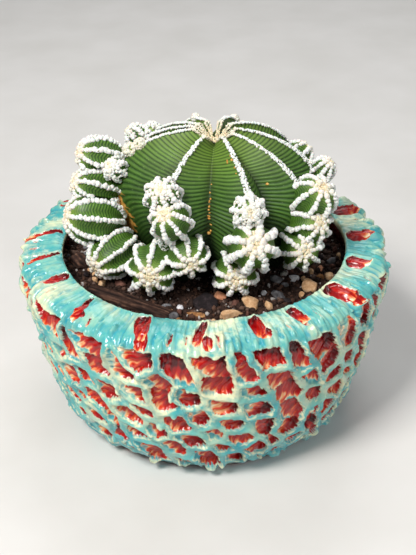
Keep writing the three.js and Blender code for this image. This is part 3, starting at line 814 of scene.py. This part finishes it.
def face_lines(angle, face):
    """The crest line and the groove line of a face. Two faces follow each rib in order."""
    rib = face // 2
    return crest_line(angle, (rib + face % 2) % len(RIBS)), groove_line(angle, rib)


def crest_reach(height, extra):
    """The radius of a rib's crest line at a height above the soil."""
    reach = STEM_RADIUS + extra
    if height >= WIDEST_HEIGHT:
        level = min(1, (height - WIDEST_HEIGHT) / (STEM_RISE - WIDEST_HEIGHT))
        return CROWN_RADIUS + (reach - CROWN_RADIUS) * math.sin(math.acos(level)) ** CROWN_FLATNESS
    level = (1 - height / WIDEST_HEIGHT) * math.cos(math.radians(STEM_FOOT_ANGLE))
    return CREST_FOOT + (reach - CREST_FOOT) * math.sin(math.acos(level))


def stem_angles():
    """Angles from the crown at an even spacing down the crest line."""
    fine = np.linspace(2, STEM_FOOT_ANGLE, 2000)
    along = distances(crest_line(fine, 1))
    count = round(along[-1] / STEM_SPACING)
    places = np.linspace(0, along[-1], count)
    return np.interp(places, along, fine), places


def stem_columns():
    """For each column: its face and its share of the way across. Even faces start at a crest."""
    columns = []
    for rib, (_, _, share, _) in enumerate(RIBS):
        span = rib_span(rib)
        for face, width in enumerate([span * share, span * (1 - share)]):
            count = max(8, round(STEM_COLUMNS * width / 360))
            columns += [(2 * rib + face, step / count) for step in range(count)]
    return columns


def make_stem():
    angles, along = stem_angles()
    columns = stem_columns()
    rings = np.zeros((len(angles), len(columns), 3))
    to_crest = np.zeros((1, len(columns)))
    sag = np.zeros((1, len(columns)))
    lines = {}
    for index, (face, share) in enumerate(columns):
        if face not in lines:
            crest, groove = face_lines(angles, face)
            lines[face] = (groove, crest) if face % 2 else (crest, groove)
        start, end = lines[face]
        outward = unit((start + end) * (1, 1, 0))
        bulge = FACE_BULGE * math.sin(math.pi * share) * np.sin(np.radians(angles))
        rings[:, index] = start * (1 - share) + end * share + outward * bulge[:, None]
        to_crest[0, index] = share if face % 2 else 1 - share
        sag[0, index] = WIDE_FACE_SAG if face == WIDE_FACE else RIDGE_SAG
    low = smooth(52, 8, rings[..., 2])
    phase = (along[:, None] - sag * low * to_crest**1.3) / RIDGE_PITCH
    phase = phase + 0.22 * noise(rings, 9, 21, 2)
    ridge = np.abs(np.sin(math.pi * phase)) ** 0.75
    fade = smooth(1, 9, along)[:, None] * smooth(0, 0.06, to_crest)
    strength = RIDGE_HEIGHT * fade * (1 + 0.35 * noise(rings, 5, 25, 2)) * smooth(62, 42, rings[..., 2])
    down = np.gradient(rings, axis=0)
    across = np.roll(rings, -1, 1) - np.roll(rings, 1, 1)
    out = unit(np.cross(down, across))
    rings = rings + out * (strength * (ridge - 0.5))[..., None]
    rings = rings + out * (0.35 * noise(rings, 12, 29, 2))[..., None]
    heights = rings[..., 2]
    azimuths = np.degrees(np.arctan2(rings[..., 1], rings[..., 0]))
    # Painted shade: darker low on the stem, under its overhang, and down the grooves between the ribs.
    in_groove = smooth(0.22, 0.0, to_crest) * smooth(0, 22, along)[:, None]
    shade = 0.9 * smooth(38, 2, heights) + 0.65 * in_groove
    young = 0.45 * smooth(40, 0, along)[:, None] * ridge
    cork = cork_patch(rings, azimuths, heights)
    points, faces = capped(rings, np.array([0, 0, STEM_RISE - CROWN_DIP - 0.6]), np.array([0, 0, -6.0]))
    ends = [0, 0]
    values = {
        "ridge": np.append(ridge.ravel(), ends),
        "shade": np.append(np.clip(shade, 0, 0.9).ravel(), ends),
        "young": np.append(young.ravel(), ends),
        "cork": np.append(cork.ravel(), ends),
    }
    add_piece("ribbed_stem", points + PLANT_CENTRE, faces, STEM_SKIN, values, ["cactus_stem"])


CORK_AZIMUTH = -169  # the right edge of the corky patch, at its top and foot
CORK_BULGE = 9  # how much further it reaches at its middle
CORK_LOW, CORK_HIGH = 2, 37


def cork_patch(points, azimuths, heights):
    """The corky patch at the foot of the first rib, with flame-shaped teeth along one edge."""
    east = (azimuths + 360) % 360 - 360
    teeth = (heights / 4.2 + 0.4 * noise(points, 5, 33)) % 1
    middle = (heights - (CORK_LOW + CORK_HIGH) / 2 - 3) / 9
    reach = CORK_AZIMUTH + CORK_BULGE * np.exp(-(middle**2)) + 5 * (1 - teeth) ** 1.5 - 2
    reach = reach + 1.5 * noise(points, 3, 35, 2)
    upright = smooth(CORK_LOW - 3, CORK_LOW, heights) * smooth(CORK_HIGH, CORK_HIGH - 4, heights)
    return smooth(0.6, -0.6, east - reach) * smooth(-190, -186, east) * upright


# ---------------------------------------------------------------- wool

TUFT = ball(1)
BEAD = ball(2)
# The strip of wool on a crest: its width at angles from the crown.
CREST_WIDTHS = {4: 1.3, 35: 2.0, 60: 3.0, 90: 4.2, 118: 4.8}
CROWN_TUFTS = 230  # on the inner end of each rib


def rows_of_tufts(line, widths, spacing, draw):
    """Tuft centres scattered along a line, over the width given at each of its points."""
    along = distances(line)
    places = []
    place = 0.0
    while place < along[-1]:
        places.append(place)
        width = np.interp(place, along, widths)
        place += spacing * draw.uniform(0.7, 1.3) / max(1.0, width / 1.1)
    return interpolated(places, along, line), np.interp(places, along, widths)


def add_wool(name, shape, centres, sizes, cream, seed, roughness, lump):
    """A piece of wool made of many copies of one tuft or bead."""
    points, faces = copies(shape, centres, sizes, seed, roughness, lump)
    values = {"cream": np.repeat(cream, len(shape[0]))}
    add_piece(name, points + PLANT_CENTRE, faces, WOOL, values)


def make_crest_wool():
    """A felted strip of wool along every crest, wider towards the foot."""
    draw = np.random.default_rng(8)
    angles = np.linspace(min(CREST_WIDTHS), max(CREST_WIDTHS), 160)
    widths = np.interp(angles, list(CREST_WIDTHS), list(CREST_WIDTHS.values()))
    centres = []
    for rib in range(len(RIBS)):
        found, width = rows_of_tufts(crest_line(angles, rib), widths, 0.27, draw)
        sideways = around(RIBS[rib][0] + 90, 1, 0)
        offset = draw.uniform(-0.5, 0.5, len(found)) * width
        outward = unit(found * (1, 1, 0))
        inwards = -0.65 * np.abs(offset)
        found = found + offset[:, None] * sideways + inwards[:, None] * outward
        centres.append(found + draw.uniform(-0.2, 0.3, len(found))[:, None] * outward)
    centres = np.concatenate(centres)
    sizes = draw.uniform(0.36, 0.6, (len(centres), 1)) * draw.uniform(0.8, 1.2, (len(centres), 3))
    cream = smooth(14, 6, np.linalg.norm(centres[:, :2], axis=1)) * 0.7
    add_wool("crest_wool", TUFT, centres, sizes, cream, 61, 0.45, 1.6)


def make_crown_wool():
    """Cream wool down the inner end of every rib, filling the dip at the growing point."""
    draw = np.random.default_rng(18)
    dip = np.array([0, 0, STEM_RISE - CROWN_DIP - 0.4])
    centres = []
    for rib, (azimuth, _, _, _) in enumerate(RIBS):
        share = np.sqrt(draw.uniform(0, 1, CROWN_TUFTS))[:, None]
        ends = crest_line(np.full(CROWN_TUFTS, 5.0), rib)
        sideways = around(azimuth + 90, 1, 0) * draw.uniform(-1.1, 1.1, (CROWN_TUFTS, 1)) * share
        centres.append(dip + (ends - dip) * share + sideways + draw.normal(0, 0.2, (CROWN_TUFTS, 3)))
    centres = np.concatenate(centres)
    sizes = draw.uniform(0.3, 0.5, len(centres))
    cream = 1 - 0.4 * smooth(5, 8, np.linalg.norm(centres[:, :2], axis=1))
    add_wool("crown_wool", TUFT, centres, sizes, cream, 63, 0.5, 1.6)


# Small woolly buds on the crests: rib, angle from the crown, radius, and how cream they are.
BUDS = [(0, 42, 2.3, 0.5), (0, 50, 2.8, 0.5), (8, 52, 4.2, 0.1), (7, 28, 1.5, 0.3), (6, 48, 1.9, 0.4)]
# Golden corky flecks: face, first and last angle from the crown, share of the way across the face,
# number and size.
FLECKS = [(3, 50, 86, 0.02, 12, 0.5), (3, 84, 100, 0.03, 7, 0.7), (3, 26, 44, 0.86, 10, 0.45),
          (3, 30, 33, 0.66, 3, 0.6), (5, 60, 63, 0.3, 3, 0.7), (4, 70, 76, 0.55, 3, 0.5)]


def make_buds():
    draw = np.random.default_rng(28)
    centres, sizes, creams = [], [], []
    for rib, angle, radius, cream in BUDS:
        count = round(42 * radius)
        facing = unit(draw.normal(size=(count, 3)))
        centres.append(crest_line(np.array([angle]), rib) + facing * radius)
        sizes.append(draw.uniform(0.5, 0.9, count))
        creams.append(np.full(count, cream))
    centres, sizes, creams = np.concatenate(centres), np.concatenate(sizes), np.concatenate(creams)
    add_wool("crest_buds", BEAD, centres, sizes, creams, 65, 0.4, 1.7)
    cores = np.concatenate([crest_line(np.array([angle]), rib) for rib, angle, _, _ in BUDS])
    radii = [radius * 0.85 for _, _, radius, _ in BUDS]
    points, faces = copies(BEAD, cores, radii, 67, 0.15, 1.0)
    values = {"ridge": 0.8 * np.ones(len(points)), "young": 0.6 * np.ones(len(points))}
    add_piece("crest_bud_cores", points + PLANT_CENTRE, faces, PUP_SKIN, values)


def make_flecks():
    draw = np.random.default_rng(38)
    centres, sizes = [], []
    for face, first, last, share, count, size in FLECKS:
        crest, groove = face_lines(draw.uniform(first, last, count), face)
        centres.append(groove * (1 - share) + crest * share + draw.normal(0, 0.25, (count, 3)))
        sizes.append(size * draw.uniform(0.6, 1.2, (count, 3)))
    points, faces = copies(BEAD, np.concatenate(centres), np.concatenate(sizes), 69, 0.6, 1.3)
    add_piece("stem_flecks", points + PLANT_CENTRE, faces, STEM_SKIN, {"cork": np.ones(len(points))})


# ---------------------------------------------------------------- pups

PUP_RIBS = 8
PUP_GROOVE = 0.86
PUP_COLUMNS = 12  # in each rib
PUP_ROWS = 84
PUP_RIDGE_PITCH = 1.15
BEAD_SIZE = 1.15
ARM_SIZES = {"pup_front_2": 1.6}
CAP_SIZES = {"pup_front_2": 5.2, "pup_front_3": 4.6, "pup_front_left_4": 4.6}
FUZZ = {"pup_front_1": 210, "pup_front_left_1": 110, "pup_left_3": 110, "pup_left_1": 60}


def pup_frames():
    """Each pup's centre above the soil, axes, radius and stretch."""
    frames = {}
    for name, (rib, side, beyond, height, radius, stretch, azimuth, elevation) in PUPS.items():
        place = RIBS[rib][0] + math.degrees(side / STEM_RADIUS)
        centre = around(place, crest_reach(height, RIBS[rib][1]) + beyond, height)
        frames[name] = (centre, axes_along(direction(azimuth, elevation)), radius, stretch)
    return frames


def pup_surface(angles, turns, radius, stretch):
    """Local points over angles from the tip and turns round the axis."""
    within = turns * PUP_RIBS / 360 % 1
    share = 1 - (1 - PUP_GROOVE) * np.sin(math.pi * within) ** 0.8
    dip = 0.1 * radius * np.exp(-((angles / 16) ** 2))
    rise = radius * stretch * np.cos(np.radians(angles)) - dip
    return around(turns, radius * share * np.sin(np.radians(angles)) ** 0.95, rise)


def pressed(points, name, frames, slack):
    """Points moved back to the flats where the pup presses on its neighbours."""
    centre, _, radius, stretch = frames[name]
    for other, (other_centre, _, other_radius, other_stretch) in frames.items():
        apart = other_centre - centre
        distance = np.linalg.norm(apart)
        if other == name or distance >= radius * stretch + other_radius * other_stretch:
            continue
        reach = (distance**2 + radius**2 - other_radius**2) / (2 * distance) + slack
        apart = apart / distance
        beyond = np.maximum((points - centre) @ apart - reach, 0)
        points = points - beyond[:, None] * apart
    return points


def hidden(points, name, frames):
    """True where a point is well inside another pup, the stem or the soil."""
    inside = points[:, 2] < -0.5
    for other, (centre, axes, radius, stretch) in frames.items():
        if other == name:
            continue
        local = (points - centre) @ axes.T / (radius, radius, radius * stretch)
        inside |= np.linalg.norm(local, axis=1) < 0.86
    height = points[:, 2]
    angle = np.degrees(np.arccos(np.clip((height - WIDEST_HEIGHT) / (STEM_RISE - WIDEST_HEIGHT), -1, 1)))
    core = STEM_RADIUS - GROOVE_DEPTH - 2
    reach = core * np.sin(np.radians(np.clip(angle, 0, 150)))
    return inside | (np.linalg.norm(points[:, :2], axis=1) < reach)


def make_pup(name, frames, seed):
    centre, axes, radius, stretch = frames[name]
    draw = np.random.default_rng(seed)
    twist = draw.uniform(0, 360 / PUP_RIBS)
    angles = np.linspace(4, 176, PUP_ROWS)[:, None]
    turns = (np.arange(PUP_RIBS * PUP_COLUMNS) * 360 / PUP_RIBS / PUP_COLUMNS)[None, :]
    rings = pup_surface(angles, turns, radius, stretch)
    within = turns * PUP_RIBS / 360 % 1
    groove = 1 - np.abs(2 * within - 1)
    phase = np.radians(angles) * radius / PUP_RIDGE_PITCH + 0.9 * groove
    ridge = np.abs(np.sin(math.pi * phase)) ** 0.8
    rings = rings * (1 + (0.16 * ridge - 0.1)[..., None] / radius)
    wobble = 0.5 * noise(rings + 31.7 * seed, 6, 70, 2)
    rings = rings * (1 + wobble[..., None] / radius)
    top = np.array([0, 0, radius * stretch * 0.93])
    bottom = np.array([0, 0, -radius * stretch])
    points, faces = capped(rings, top, bottom)
    points = spun(points, twist) @ axes + centre
    points = pressed(points, name, frames, -0.1)
    ends = [0, 0]
    # Painted shade down the grooves between the pup's ribs.
    deep = smooth(0.35, 1.0, groove) * 0.35 + 0 * ridge
    tip = 0.5 * smooth(60, 15, angles) + 0 * ridge
    values = {
        "ridge": np.append(ridge.ravel(), ends),
        "shade": np.append(deep.ravel(), ends),
        "young": np.append(tip.ravel(), ends),
        "cork": np.zeros(len(points)),
    }
    add_piece(f"{name}_body", points + PLANT_CENTRE, faces, PUP_SKIN, values, [name])
    make_pup_wool(name, frames, draw, twist)


def spun(points, turn):
    """Points turned about their local axis."""
    cosine, sine = math.cos(math.radians(turn)), math.sin(math.radians(turn))
    return points @ np.array([(cosine, sine, 0), (-sine, cosine, 0), (0, 0, 1)])


def make_pup_wool(name, frames, draw, twist):
    """A rope of beads down each rib of a pup, and a cap of cream wool on its tip."""
    centre, axes, radius, stretch = frames[name]
    bead = ARM_SIZES.get(name, BEAD_SIZE) * (0.75 + 0.25 * radius / 9)
    centres, sizes, creams = [], [], []
    for rib in range(PUP_RIBS):
        angles = np.linspace(14, 158, 120)
        line = pup_surface(angles, rib * 360 / PUP_RIBS + 0 * angles, radius, stretch)
        line = even(line, bead * 1.5)
        line = line + draw.normal(0, 0.15, line.shape)
        centres.append(line)
        sizes.append(bead * draw.uniform(0.85, 1.15, len(line)))
        creams.append(0.5 * smooth(0.75, 1.0, line[:, 2] / (radius * stretch)))
    cap_size = CAP_SIZES.get(name, 0.34 * radius)
    count = round(9 * cap_size**1.5)
    spread = cap_size * np.sqrt(draw.uniform(0, 1, count))
    cap = around(draw.uniform(0, 360, count), spread, radius * stretch * 0.95 - spread**2 * 0.55 / radius)
    centres.append(cap)
    sizes.append(draw.uniform(0.6, 1.0, count))
    creams.append(np.ones(count))
    count = FUZZ.get(name, 0)
    angles = draw.uniform(15, 115, count)
    fuzz = pup_surface(angles, draw.uniform(0, 360, count), radius, stretch)
    centres.append(fuzz * (1 + 0.3 / radius))
    sizes.append(draw.uniform(0.4, 0.9, count))
    creams.append(draw.uniform(0, 0.3, count))
    centres = spun(np.concatenate(centres), twist) @ axes + centre
    sizes, creams = np.concatenate(sizes), np.concatenate(creams)
    seen = ~hidden(centres, name, frames)
    centres = pressed(centres[seen], name, frames, 0.4)
    add_wool(f"{name}_wool", BEAD, centres, sizes[seen], creams[seen], 71, 0.4, 1.7)


def make_pups():
    frames = pup_frames()
    for seed, name in enumerate(PUPS, 1):
        make_pup(name, frames, seed)


# ---------------------------------------------------------------- soil and loose pieces

ROCK_BALL = ball(5)
ROCK_FLATS = 16
PLANK_COLUMNS = 96
SOIL_RINGS = 88
SOIL_COLUMNS = 420
GRIT_BALL = ball(1)
GRIT_COUNT = 7600
PEBBLE_BALL = ball(3)
PEBBLES = {"grey": 40, "tan": 30, "brown": 46, "charcoal": 28, "wood": 14}


def rock_points(points, seed):
    """A ball cut by random flats, so that it looks like broken stone."""
    draw = np.random.default_rng(seed)
    normals = unit(draw.normal(size=(ROCK_FLATS, 3)))
    depths = draw.uniform(0.62, 0.95, ROCK_FLATS)
    facing = points @ normals.T
    limits = np.where(facing > 0.05, depths / np.maximum(facing, 0.05), 9)
    reach = -np.log(np.exp(-14 * limits).sum(axis=1)) / 14
    reach = np.minimum(reach, 1.15)
    return points * (reach + 0.05 * noise(points, 0.5, seed, 3))[:, None]


def laid_out(node):
    """Centre, axes in rows and half sizes of a CAD node, from its own points."""
    mesh = frame["nodes"][node].data
    points = np.array([tuple(vertex.co) for vertex in mesh.vertices]) / MM
    points = np.unique(points.round(3), axis=0)
    middle = points.mean(axis=0)
    _, _, axes = np.linalg.svd(points - middle)
    local = (points - middle) @ axes.T
    low, high = local.min(axis=0), local.max(axis=0)
    return middle + (low + high) / 2 @ axes, axes, (high - low) / 2


def make_rock(node, slot, seed):
    centre, axes, halves = laid_out(node)
    points = rock_points(ROCK_BALL[0], seed)
    points = points / np.abs(points).max(axis=0) * halves
    add_piece(f"{node}_rock", points @ axes + centre, ROCK_BALL[1], ROCKS[slot], None, [node])


def plank(halves, seed):
    """A slab of bark: a rounded block, long ridges along it and ragged ends."""
    long, wide, thick = halves
    turns = np.arange(PLANK_COLUMNS) * 360 / PLANK_COLUMNS
    places = np.linspace(-1, 1, max(30, round(2 * long / 0.35)))
    cosine, sine = np.cos(np.radians(turns)), np.sin(np.radians(turns))
    square = (np.abs(cosine) ** 5 + np.abs(sine) ** 5) ** (-1 / 5)
    ends = (1 - np.abs(places) ** 14) ** (1 / 6)
    across = (cosine * square)[None] * wide * ends[:, None]
    up = (sine * square)[None] * thick * ends[:, None]
    rings = np.stack([places[:, None] * long + 0 * across, across, up], -1)
    grain = noise(rings * (0.12, 1, 1), 1.1, seed, 3)
    rings = rings + np.stack([0 * across, cosine * square + 0 * across, sine * square + 0 * across],
                             -1) * (0.45 * grain)[..., None]
    rings[..., 0] += 1.6 * noise(rings * (0, 1, 1), 1.6, seed + 3, 2) * (np.abs(places) ** 3)[:, None]
    points, faces = capped(rings, rings[0].mean(axis=0), rings[-1].mean(axis=0))
    return points, faces, np.append(0.5 + 0.9 * grain.ravel(), [0.5, 0.5])


def make_bark(node, seed):
    centre, axes, halves = laid_out(node)
    points, faces, grain = plank(halves * (1, 0.9, 0.85), seed)
    if np.linalg.det(axes) < 0:
        axes = axes * np.array([[1], [1], [-1]])
    add_piece(f"{node}_slab", points @ axes + centre, faces, BARK,
              {"grain": np.clip(grain, 0, 1)}, [node])


def make_soil():
    """The potting mix: a lumpy top on the plain body of soil inside the bowl."""
    radii = np.linspace(3, CAVITY_RADIUS - 6.5, SOIL_RINGS)
    azimuths = (np.arange(SOIL_COLUMNS) * 360 / SOIL_COLUMNS)[None, :]
    top = around(azimuths, radii[:, None], SOIL_HEIGHT)
    lumps = 1.1 * noise(top, 9, 81, 3) + 0.5 * noise(top, 1.6, 83, 2)
    top[..., 2] += lumps - 0.3
    side = even(inner_line(), 4)
    side = side[(side[:, 1] > FLOOR_THICKNESS + 0.1) & (side[:, 1] < SOIL_HEIGHT - 1)][::-1]
    body = around(azimuths, side[:, 0][:, None] - 0.3, side[:, 1][:, None])
    rings = np.concatenate([top, body])
    points, faces = capped(rings, np.array([0, 0, SOIL_HEIGHT]), np.array([0, 0, FLOOR_THICKNESS + 0.3]))
    tone = 0.3 + 0.3 * noise(points, 2.5, 85, 2)
    add_piece("soil_body", points, faces, SOIL, {"tone": np.clip(tone, 0, 0.6)}, ["potting_mix"])


def make_grit():
    """Small crumbs of bark, charcoal, stone and perlite all over the soil."""
    draw = np.random.default_rng(12)
    radius = LIP_RADIUS * np.sqrt(draw.uniform(0.05, 1.06, GRIT_COUNT))
    places = around(draw.uniform(0, 360, GRIT_COUNT), radius, SOIL_HEIGHT)
    sizes = 0.45 + 1.1 * draw.uniform(0, 1, GRIT_COUNT) ** 3
    places[:, 2] += 1.1 * noise(places, 9, 81, 3) - 0.1 + 0.3 * draw.uniform(0, 1, GRIT_COUNT)
    shapes = sizes[:, None] * draw.uniform(0.6, 1.3, (GRIT_COUNT, 3))
    points, faces = copies(GRIT_BALL, places, shapes, 87, 0.5, 1.4)
    kinds = draw.uniform(0, 1, GRIT_COUNT)
    tones = np.interp(kinds, [0, 0.62, 0.82, 0.93, 0.96, 1], [0, 0.4, 0.62, 0.75, 0.9, 1])
    add_piece("soil_grit", points, faces, SOIL, {"tone": np.repeat(tones, len(GRIT_BALL[0]))})


def make_pebbles():
    """Small broken stones between the larger pieces, clear of them and of the plant."""
    draw = np.random.default_rng(14)
    taken = [laid_out(entry["node"]) for entry in frame["record"]["subparts"]
             if entry["material_slot"] in ROCKS or entry["material_slot"] == "bark"]
    for slot, count in PEBBLES.items():
        placed, sizes = [], []
        while len(placed) < count:
            size = draw.uniform(1.1, 2.6)
            radius = draw.uniform(0.62, 0.985) * LIP_RADIUS
            place = around(draw.uniform(0, 360), radius, SOIL_HEIGHT + 0.35 * size)
            gaps = [np.linalg.norm((place - centre)[:2]) - halves[:2].mean() - size
                    for centre, _, halves in taken]
            if min(gaps) > 0:
                placed.append(place)
                sizes.append(size * draw.uniform(0.6, 1.2, 3))
                taken.append((place, None, np.array([size, size, size])))
        shape = (rock_points(PEBBLE_BALL[0], len(slot)), PEBBLE_BALL[1])
        points, faces = copies(shape, np.array(placed), np.array(sizes), 89, 0.35, 0.9)
        add_piece(f"pebbles_{slot}", points, faces, ROCKS[slot])


def make_loose_pieces():
    slots = {entry["node"]: entry["material_slot"] for entry in frame["record"]["subparts"]}
    for seed, (node, slot) in enumerate(sorted(slots.items())):
        if slot in ROCKS:
            make_rock(node, slot, seed + 3)
        elif slot == "bark":
            make_bark(node, seed + 3)


# ---------------------------------------------------------------- stage

VIEW_ELEVATION = 32.38
VIEW_DISTANCE = 461.3
VIEW_TARGET = (1.6, 0, 62)
VIEW_ROLL = -0.54
VIEW_LENS = 64.86


def make_camera():
    lens = bpy.data.cameras.new("camera")
    lens.lens = VIEW_LENS
    lens.sensor_width = 36
    camera = bpy.data.objects.new("camera", lens)
    bpy.context.scene.collection.objects.link(camera)
    back = Vector(direction(-90, VIEW_ELEVATION))
    place = Matrix.Translation((Vector(VIEW_TARGET) + back * VIEW_DISTANCE) * MM)
    facing = (-back).to_track_quat("-Z", "Y").to_matrix().to_4x4()
    camera.matrix_world = place @ facing @ Matrix.Rotation(math.radians(VIEW_ROLL), 4, "Z")
    bpy.context.scene.camera = camera


def make_floor():
    finish = Finish("floor", Roughness=0.75, Specular_IOR_Level=0.2)
    shade = finish.ramp(finish.noise(60, 3), (0.3, colour(214, 212, 208)), (0.7, colour(222, 220, 217)))
    material = finish.done(shade)
    bpy.ops.mesh.primitive_plane_add(size=8, location=(0, 0, 0))
    floor = bpy.context.object
    floor.name = "floor"
    floor.data.materials.append(material)


def add_light(name, azimuth, elevation, distance, size, power, tint=(1, 1, 1)):
    """A square area light that faces the plant."""
    lamp = bpy.data.lights.new(name, "AREA")
    lamp.size = size * MM
    lamp.energy = power
    lamp.color = tint
    light = bpy.data.objects.new(name, lamp)
    bpy.context.scene.collection.objects.link(light)
    place = Vector(direction(azimuth, elevation))
    light.location = (place * distance + Vector((0, 0, SOIL_HEIGHT))) * MM
    light.rotation_euler = place.to_track_quat("Z", "Y").to_euler()


def make_lights():
    add_light("key", -128, 52, 900, 260, 8.8, (1, 0.98, 0.95))
    add_light("fill", -50, 30, 1000, 600, 2.2, (0.95, 0.98, 1))
    add_light("back", 80, 55, 1000, 600, 3.6)
    world = bpy.data.worlds.new("studio")
    bpy.context.scene.world = world
    world.use_nodes = True
    sky = world.node_tree.nodes["Background"]
    sky.inputs["Color"].default_value = (0.92, 0.95, 1, 1)
    sky.inputs["Strength"].default_value = 0.22
    bpy.context.scene.view_settings.view_transform = "Standard"


make_camera()
make_floor()
make_lights()
make_pot()
make_stem()
make_crest_wool()
make_crown_wool()
make_buds()
make_flecks()
make_pups()
make_soil()
make_grit()
make_pebbles()
make_loose_pieces()
